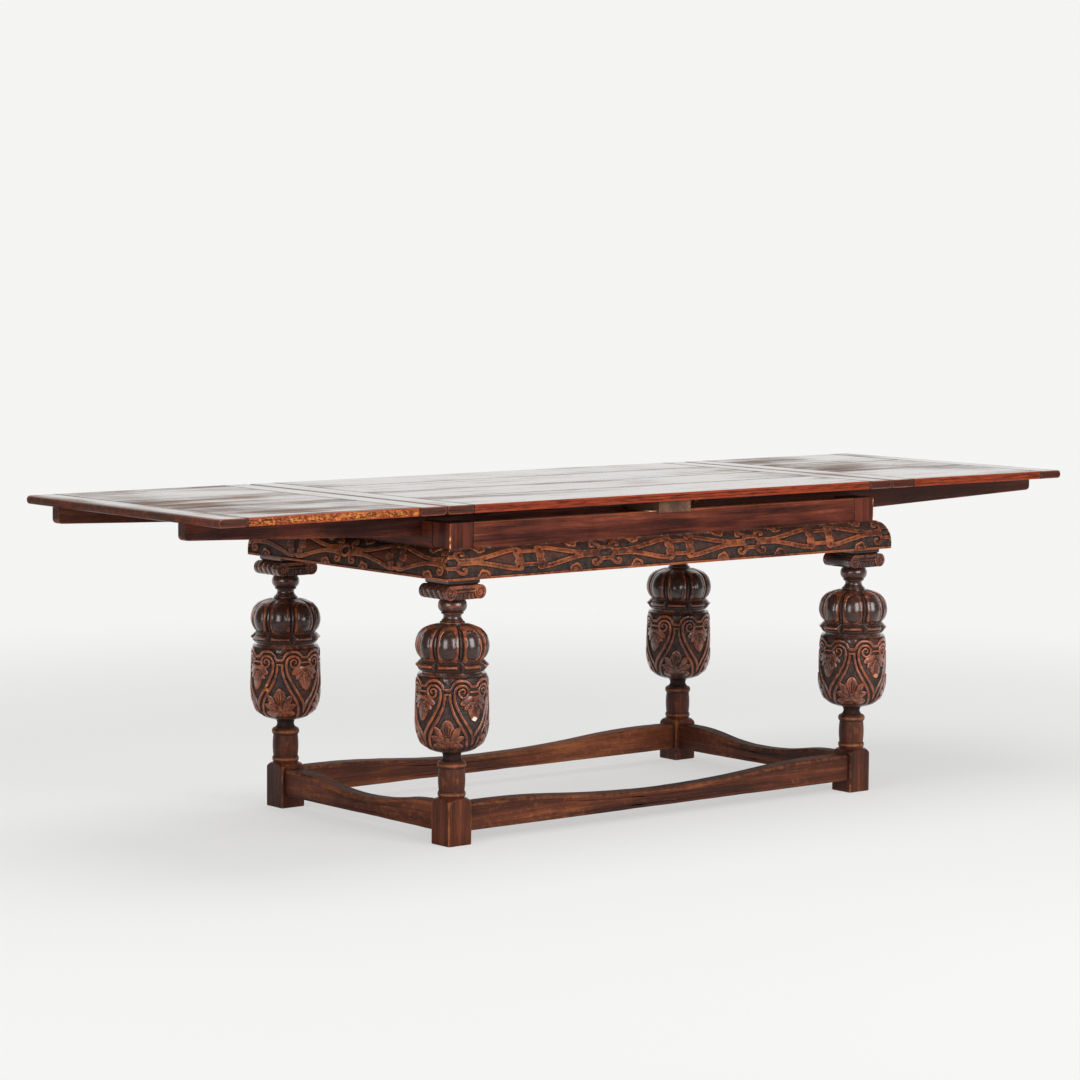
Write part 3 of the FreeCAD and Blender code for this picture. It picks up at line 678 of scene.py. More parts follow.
# points of the cover's outline, as shares of its height and radius
coverShares = ((0.0, 0.845), (0.14, 0.945), (0.38, 1.0), (0.67, 0.94), (0.85, 0.80), (0.94, 0.63), (1.0, 0.4))
gadroon = {"ovalHalf": 18.5, "ovalMiddle": 0.47, "ovalRise": 0.41, "sunk": 1.6, "bulge": 1.6, "cut": 2.0,
           "seamAt": 28.7, "seam": 6.0, "ribFrom": 29.5, "rib": 2.2}
neck = {"low": 506.0, "high": 532.0, "foot": 29.5, "waist": 20.8, "fillet": 25.7, "ballTop": 564.0, "ball": 33.4,
        "seat": 24.5, "columns": 96}


def ringed(rows, columns, radiusOf, fields):
    # rows of (radius, height); radiusOf(radius, turn, height) carves them, fields(turn, height) gives the mesh values
    rows = np.array(rows, float)
    turn = np.linspace(0, 2 * math.pi, columns, endpoint=False)
    r, t = np.meshgrid(rows[:, 0], turn, indexing="ij")
    z = np.repeat(rows[:, 1][:, None], columns, 1)
    r = radiusOf(r, t, z)
    points = np.stack([r * np.cos(t), r * np.sin(t), z], -1)
    return [{"points": points, "faces": gridFaces(len(rows), columns, True), **fields(t, z)}] + endCaps(points)


def plain(r, t, z):  # turned and not carved
    return r


def footParts():
    heights = np.concatenate([np.linspace(0, foot["scuffTop"], 4), np.linspace(6, foot["corner"] - 2, 14),
                              np.linspace(foot["corner"] - 1, foot["top"], 14)])
    corner = foot["half"] * math.sqrt(2)
    bulge = foot["neck"] + (corner - foot["neck"]) * (1 - foot["shoulder"])
    shoulder = foot["top"] - foot["corner"]
    start = (corner, foot["corner"])
    arc = arcPoints(start, (bulge, foot["top"] - shoulder * foot["shoulder"]), (foot["neck"], foot["top"]), 40)
    arc = np.array([start] + arc)
    turn = np.linspace(0, 2 * math.pi, foot["columns"], endpoint=False)
    turn = turn - foot["crowd"] * np.sin(4 * (turn - math.pi / 4))  # columns crowd toward the four arrises
    flat = foot["half"] / np.maximum(np.abs(np.cos(turn)), np.abs(np.sin(turn)))
    rounded = corner - foot["round"] * 0.75
    points, arris = [], []
    for z in heights:
        limit = np.interp(z, arc[:, 1], arc[:, 0]) if z > foot["corner"] else corner
        scuff = foot["scuff"] * (1 - smooth(z, 0, foot["scuffTop"]))
        r = np.minimum(np.minimum(flat, rounded), limit) - scuff
        points.append(np.stack([r * np.cos(turn), r * np.sin(turn), np.full_like(r, z)], -1))
        near = nook(flat, rounded, 1.6) + nook(flat, limit, 1.4) * (z > foot["corner"])
        near = near + (flat > rounded) * 0.9 + 0.7 * (1 - smooth(z, 0, 4))
        arris.append(np.clip(near, 0, 1) * foot["wear"])
    points = np.array(points)
    block = {"points": points, "faces": gridFaces(len(heights), len(turn), True), "arris": np.array(arris)}
    under, top = endCaps(points)
    return [block, {**under, "endGrain": 1.0}, top]


def lowerParts():
    z0, z1, z2 = lower["ring"]
    c0, c1 = lower["column"]
    k0, k1 = lower["collar"]
    s0, s1 = lower["stem"]
    ring, column, collar = (z1 + z2) / 2, (c0 + c1) / 2, (k0 + k1) / 2
    rows = [(foot["neck"], z0 - 1.0), (foot["neck"], z1)]
    rows += arcPoints(rows[-1], (lower["ringRadius"], ring), (foot["neck"], z2), 10)
    rows += [(lower["columnEnd"], c0 + 0.1)]
    rows += arcPoints(rows[-1], (lower["columnRadius"], column), (lower["columnEnd"], c1 - 0.1), 18)
    rows += [(foot["neck"], k0)]
    rows += arcPoints(rows[-1], (lower["collarRadius"], collar), (foot["neck"], k1), 10)
    rows += arcPoints(rows[-1], (lower["stemRadius"], (s0 + s1) / 2), (lower["lip"], s1 + 1.0), 12)

    def fields(t, z):
        crest = swell(z, ring, 3.0) + swell(z, collar, 3.5)
        # darker in the creases by the ring and the collar; painted shade under the cup, between collar and cup
        dirt = nook(z, z2, 1.6) + nook(z, k0, 1.6) + nook(z, s0 + 9, 6.0)
        rubbed = swell(z, column, 20.0) * 0.36
        stem = smooth(z, s0 - 2.0, s0 + 5.0)  # dark between collar and cup
        arris = np.maximum(np.clip(crest, 0, 1) * 0.8, rubbed) * (1 - stem)
        sunk = np.maximum(np.clip(dirt, 0, 1) * 0.8, stem)
        return {"arris": arris, "sunk": sunk, "stain": 0.2, "shadow": stem * 0.55}

    return ringed(rows, lower["columns"], plain, fields)


# the cup's carving as (distance round from the palmette's or the hanging leaf's middle line, height)
strapLine = ((69, 238), (66, 250), (61.5, 261), (55.5, 271), (48.5, 281), (42, 291), (36, 300), (30.5, 310), (25, 320),
             (20.5, 330), (17.5, 341), (16.8, 352))
archLine = ((-2, 364.5), (6, 364.5), (10.5, 368), (14.5, 376.5), (23, 383), (34, 385), (46, 382.5), (54, 376.5),
            (59, 371.5), (69, 370.5))
tentLine = ((54, 226), (51.5, 238), (48.5, 251), (41, 267), (31, 283), (22, 298), (14.5, 313), (9.5, 327), (6.8, 340),
            (5.8, 353))
scroll = {"middle": (38.0, 358.5), "turned": (0, 90, 180, 270, 360, 450, 540, 620),
          "radius": (21.2, 14.6, 13.6, 12.6, 10.6, 6.6, 4.2, 2.4),
          "halfAt": (0, 200, 420, 620), "half": (3.7, 3.4, 2.6, 1.9)}
plainBands = ((curvePath(archLine, 4), 3.7), (curvePath(tentLine, 4), 3.6),
              (((-2, 353.5), (6, 353.5)), 2.6), (((52, 358.5), (69, 358.0)), 2.6))
# side leaves as (root, tip, half-width), and the cut lines that spread over the middle
hangingLeaf = {"sides": (((2, 346), (37, 331), 10.5), ((2, 340), (27, 318), 8.5)), "top": 349, "length": 58.0,
               "half": 18.0, "cutsFrom": 351, "cutsLow": 312, "cutsHigh": 340, "spacing": 0.16, "spread": 0.5,
               "cut": 0.55}
palmette = {"sides": (((5, 247), (31, 280), 10.0), ((4, 243), (42, 257), 9.5), ((2, 236), (43, 233), 11.0)),
            "heart": ((0, 238), (9.0, 13.0)), "middle": 262, "rise": 34.5, "low": 246, "half": 20.5, "cutsFrom": 247,
            "cutsLow": 256, "cutsHigh": 282, "spacing": 0.24, "spread": 0.62, "cut": 0.6}
cupBorder = {"panel": ((0, 386), (13.0, 10.0)), "lip": (389.3, 390.6), "base": (219.0, 224.0)}
# chips as (degrees round, height, radius, tone)
cupChips = {"front_left": ((270, 297, 5.2, 1.0),), "front_right": ((270, 297, 5.5, 0.62),),
            "back_left": ((202, 304, 3.2, 0.5), (203, 291, 4.2, 0.5), (207, 261, 2.8, 0.5))}


def taperedBand(x, y, path, halves, soft=1.6):  # raised band whose half-width changes along its path
    off = pathDistance(x, y, path, halves)
    return (1 - smooth(off, -soft / 2, soft / 2)) * (0.78 + 0.22 * smooth(-off, 0.0, 2.6))


def lobe(x, y, middle, half):  # 1 at the middle of an oval, 0 on its outline
    return 1 - ((x - middle[0]) / half[0]) ** 2 - ((y - middle[1]) / half[1]) ** 2


def blade(across, width):  # 1 on the middle line of a leaf, 0 on its outline
    return np.where(width > 0.3, 1 - (across / np.maximum(width, 0.3)) ** 2, -1.0)


def petal(x, y, root, tip, half):  # 1 on the middle line of a leaf from its root to its pointed tip, 0 on its outline
    dx, dy = tip[0] - root[0], tip[1] - root[1]
    length = math.hypot(dx, dy)
    along = ((x - root[0]) * dx + (y - root[1]) * dy) / length ** 2
    across = ((x - root[0]) * dy - (y - root[1]) * dx) / length
    return blade(across, half * np.sin(math.pi * np.clip(along, 0, 1) ** 0.85) ** 0.6)


def petals(shapes):  # flat domes with steep rims, cut apart where two of them meet
    ordered = np.sort(np.stack(shapes), 0)
    crease = band(ordered[-1] - ordered[-2], 0.09, 0.10) * smooth(ordered[-2], 0.0, 0.10)
    return np.clip(ordered[-1], 0, 1) ** 0.22 * (1 - 0.52 * crease)


def fanLines(angle, spacing, half):  # cut lines that spread from one point
    return band(np.abs((angle / spacing + 0.5) % 1.0 - 0.5), half, 0.10)


def cupRelief(t, z):
    # s is the distance round the cup from the palmette's middle line, u from the hanging leaf's
    quarter = math.pi / 2
    around = (t - quarter / 2) % quarter
    s = np.minimum(around, quarter - around) * cup["radius"]
    u = quarter / 2 * cup["radius"] - s
    turned = np.arange(15.0, scroll["turned"][-1] + 1, 15.0)
    radius = np.interp(turned, scroll["turned"], scroll["radius"])
    angle = np.radians(180 - turned)
    cx, cy = scroll["middle"]
    wound = np.stack([cx + radius * np.cos(angle), cy + radius * np.sin(angle)], -1)
    path = np.vstack([curvePath(strapLine, 4), wound])
    halves = np.full(len(path), scroll["half"][0])
    halves[-len(wound):] = np.interp(turned, scroll["halfAt"], scroll["half"])
    bands = [taperedBand(s, z, path, halves)]
    bands += [taperedBand(s, z, line, np.full(len(line), half)) for line, half in plainBands]
    # the leaf that hangs between the scrolls
    own = hangingLeaf
    k = np.clip((own["top"] - z) / own["length"], 0, 1)
    hanging = blade(u, own["half"] * np.sin(math.pi * k ** 1.1) ** 0.6)
    leaf = petals([hanging] + [petal(u, z, *shape) for shape in own["sides"]])
    hang = np.arctan2(u, np.maximum(own["cutsFrom"] - z, 1.0))
    veins = fanLines(hang, own["spacing"], 0.11) * (z < own["cutsHigh"]) * (z > own["cutsLow"]) * (hang < own["spread"])
    leaf = leaf * (1 - own["cut"] * veins)
    # the palmette below it
    own = palmette
    k = np.clip(1 - np.abs((z - own["middle"]) / own["rise"]) ** 1.5, 0, 1)
    ogive = blade(s, own["half"] * np.sqrt(k) * (z > own["low"]))
    palm = petals([ogive, *[petal(s, z, *shape) for shape in own["sides"]], lobe(s, z, *own["heart"])])
    fan = np.arctan2(s, np.maximum(z - own["cutsFrom"], 1.0))
    rays = fanLines(fan, own["spacing"], 0.10) * (z < own["cutsHigh"] - s * 0.5) * (z > own["cutsLow"])
    palm = palm * (1 - own["cut"] * rays * (fan < own["spread"]))
    panel = petals([lobe(s, z, *cupBorder["panel"]), np.full_like(s, -1.0)]) * 0.6
    lip = smooth(z, *cupBorder["lip"])
    base = 1 - smooth(z, *cupBorder["base"])
    return np.maximum.reduce(bands + [leaf * 0.95, palm * 0.95, panel, lip, base])


def cupParts(chips, seed):
    rows = [(lower["lip"], cup["low"])]
    size = cup["high"] - cup["low"]
    for middle, end in cupArcs:
        through, target = [(cup["radius"] * share, cup["low"] + size * rise) for rise, share in (middle, end)]
        count = max(4, int(math.dist(rows[-1], target) / cup["step"]))
        rows += arcPoints(rows[-1], through, target, count)
    rows += [(cup["fillet"] + 1.5, cup["high"]), (cup["fillet"], cup["high"] + 1.0),
             (cup["fillet"], cup["filletTop"] + 0.5)]
    made = np.random.default_rng(seed)

    def chipped(t, z):
        total = np.zeros_like(z)
        for turn, height, radius, tone in chips:
            off = (t - math.radians(turn) + math.pi) % (2 * math.pi) - math.pi
            far = np.hypot(off * cup["radius"] * 0.7, z - height) + 0.8 * np.sin(40 * off + z)
            total = np.maximum(total, tone * band(far, radius, 2.0))
        return total

    def carve(r, t, z):
        ground = 1 - cupRelief(t, z)
        inside = smooth(z, 216.0, 232.0) * (1 - smooth(z, 391.0, 395.0))
        stipple = made.normal(0.0, cup["stipple"], r.shape)
        return r - cup["depth"] * ground * inside + stipple * ground * inside - cup["chipDepth"] * chipped(t, z)

    def fields(t, z):
        raised = cupRelief(t, z)
        inside = smooth(z, 216.0, 226.0)
        lip = smooth(z, 389.0, 391.0)
        sunk = (1 - smooth(raised, 0.2, 0.75)) * inside
        # pale wax with painted glints on the slopes of the carving, and a painted reflection along the rounded lip
        rim = np.clip(1 - np.abs(raised - 0.55) / 0.4, 0, 1) * inside * (1 - lip) * 0.7
        rim = np.maximum(rim, 0.6 * smooth(z, 391.0, 394.0))
        stain = np.maximum(lip * 0.75, 1 - inside)
        # painted shade at the foot of the carving; the crests are worn, and their borders are also lit as a painted
        # highlight
        shadow, border = reliefEdges(raised, 5, True)
        crest = smooth(raised, 0.5, 0.8) * np.where(lip > 0.5, 0.38, 0.52 + 0.38 * border)
        return {"sunk": sunk, "arris": crest, "rim": rim, "stain": stain, "chip": chipped(t, z),
                "shadow": shadow * inside}

    return ringed(rows, cup["columns"], carve, fields)


def coverParts():
    low, high, edge = cover["girdleLow"], cover["girdleHigh"], cover["edge"]
    ridgeHeight, start = cover["pointHeight"], high + cover["start"]
    rows = [(edge - 2.0, low), (edge, low + 0.6)]
    rows += straight((edge, low), (cover["point"], ridgeHeight), 12)
    rows += straight((cover["point"], ridgeHeight), (edge, high), 9)
    rows += [(edge - 3.0, high + 0.4), (edge - 3.0, high + 1.6)]
    profile = [(cover["radius"] * share, start + (cover["high"] - start) * rise) for rise, share in coverShares]
    rows += [tuple(p) for p in curvePath(profile, 16)]
    step = 2 * math.pi / cover["lobes"]

    def across(t):  # distance from the middle of the lobe, at the widest ring
        return np.abs((t + step / 2) % step - step / 2) * cover["radius"]

    def rise(z):
        return np.clip((z - high) / (cover["high"] - high), 0, 1)

    def ovalReach(z):  # half-width of the smooth oval in each lobe
        k = rise(z)
        share = np.clip(1 - np.abs((k - gadroon["ovalMiddle"]) / gadroon["ovalRise"]) ** 5.0, 0, 1) ** 0.4
        return gadroon["ovalHalf"] * share * (1.06 - 0.16 * k)

    def carve(r, t, z):
        b, k, oval = across(t), rise(z), ovalReach(z)
        half = step / 2 * cover["radius"]
        plainLobe = r * (1 - cover["groove"] * (b / half) ** 2)
        sunk = gadroon["sunk"] * band(b, oval, 1.6)
        bulge = gadroon["bulge"] * np.clip(1 - (b / np.maximum(oval, 1.0)) ** 2, 0, 1) * (oval > 1)
        cut = gadroon["cut"] * band(np.abs(b - oval - 1.0), 1.3, 1.4) * (oval > 2)
        seam = gadroon["seam"] * band(np.abs(b - gadroon["seamAt"]), 1.7, 1.6)
        rib = gadroon["rib"] * smooth(b, gadroon["ribFrom"], gadroon["ribFrom"] + 1.5)
        fade = smooth(k, 0.02, 0.1) * (1 - 0.75 * smooth(k, 0.9, 1.0))
        carved = plainLobe + (-sunk + bulge - cut - seam - rib) * fade
        vee = np.minimum(r, cover["root"] + np.maximum(0.0, half - b) * 0.95)  # notches between the girdle's bars
        girdle = np.minimum(np.where(b < 22.0, r, r - 1.0), vee)
        groove = 2.2 * band(np.abs(np.abs(z - ridgeHeight) - 5.4), 0.9, 1.2) * (b < 25)
        return np.where(z > high + cover["joint"], carved, girdle - groove)

    def fields(t, z):
        b, oval = across(t), ovalReach(z)
        fromRidge = np.abs(z - ridgeHeight)
        top = z > high + cover["joint"]
        inOval = band(b, oval + 1.4, 1.4) * (oval > 2)
        seam = band(np.abs(b - 29.2), 2.2, 1.6)
        border = band(b, 27.0, 1.6) * (1 - inOval)
        dark = np.clip(seam + smooth(rise(z), 0.92, 1.0) * 0.7, 0, 1)
        ridge = band(fromRidge, 3.6, 1.6) * band(b, 24.0 + 1.2 * fromRidge, 2.0)
        flank = np.clip(1 - ridge, 0, 1)
        sunk = np.where(top, dark, flank * 0.45)
        stain = np.where(top, np.maximum(inOval, smooth(b, 30.0, 31.0)), flank)
        # the girdle's ridge is worn, and a painted highlight runs along its crown
        crown = swell(z, ridgeHeight, 1.6) * band(b, 24.0, 2.0)
        return {"sunk": sunk, "stain": stain, "arris": np.where(top, border * 0.60, ridge * 0.35 + crown * 0.6)}

    return ringed(rows, cover["columns"], carve, fields)


def neckParts():
    z0, z1, ballTop = neck["low"], neck["high"], neck["ballTop"]
    base, waist, fillet, seat = [neck[key] for key in ("foot", "waist", "fillet", "seat")]
    rows = [(base + 4.0, z0 - 2.5), (base + 3.0, z0 + 0.5), (base - 2.0, z0 + 1.0)]
    rows += arcPoints(rows[-1], (base - 0.5, z0 + 3.0), (base - 2.5, z0 + 5.0), 6)
    rows += [(waist + 3.5, z0 + 5.6)]
    rows += arcPoints(rows[-1], (waist + 4.4, z0 + 7.2), (waist + 3.0, z0 + 9.0), 5)
    rows += arcPoints(rows[-1], (waist, z0 + 15.0), (waist + 1.5, z1 - 3.5), 8)
    rows += [(fillet - 0.6, z1 - 3.4), (fillet, z1 - 2.6), (fillet, z1 - 0.6), (seat, z1)]
    rows += arcPoints(rows[-1], (neck["ball"], (z1 + ballTop) / 2), (seat, ballTop), 22)

    def fields(t, z):
        crest = swell(z, z1 + 16.0, 7.0) * 0.7 + swell(z, z1 - 1.6, 1.4) + swell(z, z0 + 3.0, 1.4)
        dirt = nook(z, z1, 1.4) + nook(z, z0 + 5.4, 1.0) + smooth(z, ballTop - 4.0, ballTop)
        return {"arris": np.clip(crest, 0, 1) * 0.7, "sunk": np.clip(dirt, 0, 1), "stain": 0.75}

    return ringed(rows, neck["columns"], plain, fields)


cornerPlaces = {corner: Matrix.Translation((sx * legX * unit, sy * legY * unit, 0))
                for corner, (sx, sy) in corners.items()}
legMeshes = {"foot_block": makeMesh("leg_foot_block", footParts(), blockZ),
             "lower_turning": makeMesh("leg_lower_turning", lowerParts(), blockZ),
             "gadrooned_cover": makeMesh("leg_gadrooned_cover", coverParts(), legZ),
             "neck_ring": makeMesh("leg_neck_ring", neckParts(), legZ)}
for index, (corner, place) in enumerate(cornerPlaces.items()):
    carvedCup = makeMesh(f"leg_carved_cup_{corner}", cupParts(cupChips.get(corner, ()), 7 + index), legZ)
    for name, mesh in {**legMeshes, "carved_cup": carvedCup}.items():
        showPiece(f"{name}_{corner}", mesh, "table_frame", [f"leg_{corner}"], place)
print("legs made")


# capitals: a reeded and a plain scroll roll, carved faces and an abacus

capital = {"low": 564.0, "high": 597.0, "offset": 42.0, "radius": 16.5, "depth": 48.5, "rim": 9.0, "groove": 4.5,
           "reeds": 4, "inset": 4.5, "abacus": 44.5, "abacusTop": 610.0, "chamfer": 4.0, "columns": 48}
volute = {"pitch": 8.0, "lead": 7.98, "start": 3.0, "half": 2.1, "eye": 3.2, "rim": 14.6, "rimHalf": 1.9}
# the face between the scrolls: how far down, half-width, how far short of the scrolls
faceBands = {"roll": (4.6, 4.2, 0), "under": (14.5, 2.6, 12), "tongues": (18, 3.4, 14)}
tonguePitch = 11.0
capitalMiddle = (capital["low"] + capital["high"]) / 2


def rollParts(side, reeded):
    places = np.linspace(-capital["depth"], capital["depth"], 111)
    waist = capital["depth"] - capital["rim"]
    if reeded:
        share = ((places + waist) / (2 * waist) * capital["reeds"]) % 1.0
        hollow = 1 - np.sqrt(np.clip(1 - (2 * share - 1) ** 2, 0, 1)) ** 0.8
    else:
        hollow = np.clip(1 - (places / waist) ** 2, 0, 1)
    hollow = np.where(np.abs(places) < waist, hollow, 0.0)
    turn = np.linspace(0, 2 * math.pi, capital["columns"], endpoint=False)
    r, t = np.meshgrid(capital["radius"] - capital["groove"] * hollow, turn, indexing="ij")
    y = np.repeat(places[:, None], len(turn), 1)
    points = np.stack([side * capital["offset"] + r * np.cos(t), y, capitalMiddle + r * np.sin(t)], -1)
    hollow = np.repeat(hollow[:, None], len(turn), 1)
    roll = {"points": points, "faces": gridFaces(len(places), len(turn), True, True), "sunk": hollow ** 1.5,
            "arris": (1 - hollow) * 0.5, "stain": 0.7}
    return [roll] + endCaps(points, True)


def facePlateParts(way):
    z = np.linspace(capital["low"] + 0.1, capital["high"] - 0.1, 44)
    half = capital["offset"] + np.sqrt(np.clip(capital["radius"] ** 2 - (z - capitalMiddle) ** 2, 0, None))
    x = half[:, None] * np.linspace(-1, 1, 141)[None, :]
    z = np.repeat(z[:, None], x.shape[1], 1)
    fall, far = capital["high"] - z, np.abs(x)
    near = far - capital["offset"]
    radius = np.hypot(near, z - capitalMiddle)
    # the scroll unwinds inward from the top roll to its eye
    turn = np.arctan2(z - capitalMiddle, -near)
    pitch = volute["pitch"]
    wound = np.abs((radius - volute["lead"] * turn / (2 * math.pi) + volute["start"]) % pitch - pitch / 2)
    wound = np.where(radius < capital["radius"], band(wound, volute["half"], 1.4), 0.0)
    eye = band(radius, volute["eye"], 1.4)
    rim = band(np.abs(radius - volute["rim"]), volute["rimHalf"], 1.2)
    down, wide, short = faceBands["roll"]
    roll = band(np.abs(fall - down), wide, 1.4) * (far < capital["offset"] - short)
    down, wide, short = faceBands["under"]
    under = band(np.abs(fall - down), wide, 1.2) * (far < capital["offset"] - short)
    down, wide, short = faceBands["tongues"]
    between = np.abs((far + tonguePitch / 2) % tonguePitch - tonguePitch / 2)
    tongues = band(between, wide, 1.6) * (fall > down) * (far < capital["offset"] - short)
    raised = np.maximum.reduce([wound, eye, rim, roll, under * 0.8, tongues * 0.65])
    edge = smooth(far / half[:, None], 0.985, 1.0)
    y = way * (capital["depth"] + 1.0 - capital["inset"] * (1 - raised) * (1 - edge))
    points = np.stack([x, y, z], -1)
    rows, cols = x.shape
    inner = points.copy()
    inner[..., 1] = way * (capital["depth"] - capital["inset"] - 4.0)
    front = {"points": points, "faces": gridFaces(rows, cols, False, way > 0), "sunk": 1 - raised,
             "arris": raised * 0.55, "stain": 0.45}
    back = {"points": inner, "faces": gridFaces(rows, cols, False, way < 0)}
    border = [(0, k) for k in range(cols)] + [(k, cols - 1) for k in range(1, rows)]
    border += [(rows - 1, k) for k in range(cols - 2, -1, -1)] + [(k, 0) for k in range(rows - 2, 0, -1)]
    strip = np.array([[sheet[spot] for spot in border] for sheet in (points, inner)])
    wall = {"points": strip, "faces": gridFaces(2, len(border), True, way < 0), "arris": 0.4}
    return [front, back, wall]


def capitalParts(outward):
    panel = capital["depth"] - capital["inset"]
    block = fixed(-panel, panel, capital["low"], capital["high"])
    core = barParts("x", -capital["offset"], capital["offset"], block, (0.5,) * 4, (0,) * 4, 5, endRound=0.3,
                    uneven=0.0)

    def abacusSection(z):
        h = capital["abacus"] - max(0.0, capital["high"] + capital["chamfer"] - z)
        return ((-h, -h), (h, h))

    abacus = barParts("z", capital["high"], capital["abacusTop"], abacusSection, (1.2,) * 4, (0.3,) * 4, 6,
                      endRound=0.2, step=1.0, uneven=0.0)
    # painted shade: the abacus is darkened, as it sits in shade under the frieze
    for part in abacus:
        part["stain"] = 0.9
    rolls = rollParts(outward, True) + rollParts(-outward, False)
    return core + abacus + rolls + facePlateParts(-1) + facePlateParts(1)


capitalMeshes = {way: makeMesh("capital_" + name, capitalParts(way), capitalY) for name, way in sides.items()}
for corner, place in cornerPlaces.items():
    mesh = capitalMeshes[corners[corner][0]]
    showPiece(f"carved_capital_{corner}", mesh, "table_frame", [f"capital_{corner}"], place)
print("capitals made")


# friezes: strapwork of rings, straps and half flowers on a stippled ground

frieze = {"low": 610.0, "fillet": 15.0, "high": 679.0, "reach": 32.0, "depth": 3.6, "step": 1.5, "filletRows": 11,
          "curveRows": 46, "stipple": 0.3, "panelRise": 0.54, "panelClean": 0.73, "border": 38, "lip": (-37.5, -36.0),
          "longPitch": 228.0, "endPitch": 196.0, "longFlower": (93, 16.8, 2.6, 10.5), "endFlower": (74, 15.5, 3.0, 9.5)}
# lines as (distance along, height from the middle): the crossing straps and the curls beside the six-sided ring
crossLine = ((34, 23), (60, 20.5), (100, 12.5), (150, 4), (200, 0))
curlLine = ((14, 15), (21, 22), (30, 27), (39, 25.5), (41, 19), (35.5, 16.5))
# the same for the end friezes, beside the clasp and beside the round eye
endStrap = ((5, 27), (14, 29), (27, 27), (50, 20.5), (85, 12), (112, 7), (134, 5.2), (152, 5.6), (165, 7.5))
endCurl = ((31, 7.5), (22, 11), (18.5, 18), (22, 25.5), (30, 27.5), (36, 23), (33.5, 17.5), (28.5, 19))


def halfFlower(x, y, middle, radius, scallops, groove):  # stands on the border, with a groove round its heart
    rho = np.hypot(x - middle, y - frieze["border"])
    scallop = radius + scallops * np.abs(np.sin(2.5 * np.arctan2(frieze["border"] - y, x - middle)))
    return band(rho - scallop, 0.0) - 0.6 * band(np.abs(rho - groove), 1.0)


def lowerLip(y):
    return 1 - smooth(y, *frieze["lip"])


def friezeRelief(x, y, pitch, first):
    # x runs along the frieze, y up from the middle of the face; first is the place of a square ring
    fromSquare = np.abs((x - first + pitch) % (2 * pitch) - pitch)
    q = pitch - fromSquare  # distance from the six-sided ring
    yy = np.abs(y)
    bars = band(np.abs(yy - 16.0), 5.0) * (fromSquare < 24)
    uprights = [band(np.abs(fromSquare - 30.5), 11.0, 1.6) * (yy < 19),
                band(np.hypot(fromSquare - 31.5, yy - 17.0), 13.0), band(np.hypot(fromSquare - 36, yy - 9), 9.0)]
    eyes = band(np.hypot(fromSquare - 34.5, yy - 19.5), 3.2)
    strap = pathDistance(fromSquare, yy, curvePath(crossLine))
    straps = band(strap, 5.8)
    merged = band(yy, 8.6) * smooth(fromSquare, 150, 160) * (q > 27)
    sixSided = np.maximum(yy - 13.5, (np.abs(q) - 27.0) * 0.8 + yy * 0.6)
    ring = band(np.abs(sixSided), 4.8)
    curls = band(pathDistance(q, yy, curvePath(curlLine)), 4.2)
    boss = np.maximum(band(np.hypot(fromSquare / 1.4, yy), 5.0, 4.0), band(np.hypot(q / 1.7, yy), 5.0, 4.0)) * 0.35
    flower = halfFlower(q, yy, *frieze["longFlower"])
    lip = lowerLip(y)
    raised = np.maximum.reduce([bars, *uprights, straps, merged, ring, curls, boss, flower, lip])
    raised = raised - 0.75 * eyes * (lip < 0.5)
    inside = (fromSquare > 40) & (fromSquare < 160) & (yy < 22 - (fromSquare - 48) * 0.19)
    panel = (1 - raised) * inside * smooth(strap, 6.5, 8.0) * 0.55
    return np.clip(raised, 0, 1), np.clip(panel, 0, 1)


def endRelief(x, y, pitch, first):
    # the end friezes: straps that curl beside a round eye, and leafy clasps; first is the place of a clasp
    fromClasp = np.abs((x - first + pitch) % (2 * pitch) - pitch)
    q = pitch - fromClasp  # distance from the eye
    yy = np.abs(y)
    strap = pathDistance(fromClasp, yy, curvePath(endStrap))
    straps = band(strap, 5.2)
    merged = band(yy, 6.0) * smooth(fromClasp, 118, 128) * (q > 24)
    curls = band(pathDistance(q, yy, curvePath(endCurl)), 3.7)
    eye = band(np.abs(np.hypot(q / 1.25, yy) - 13.0), 3.8)
    clasp = petals([lobe(fromClasp, yy, (24, 0), (15.0, 12.5)), lobe(fromClasp, yy, (18, 17), (13.0, 11.0))])
    flower = halfFlower(q, yy, *frieze["endFlower"])
    raised = np.maximum.reduce([straps, merged, curls, eye, clasp * 0.95, flower, lowerLip(y)])
    inside = (fromClasp > 34) & (fromClasp < 126) & (yy < 24 - (fromClasp - 40) * 0.22)
    panel = (1 - raised) * inside * smooth(strap, 6.0, 7.5)
    return np.clip(raised, 0, 1), np.clip(panel, 0, 1)


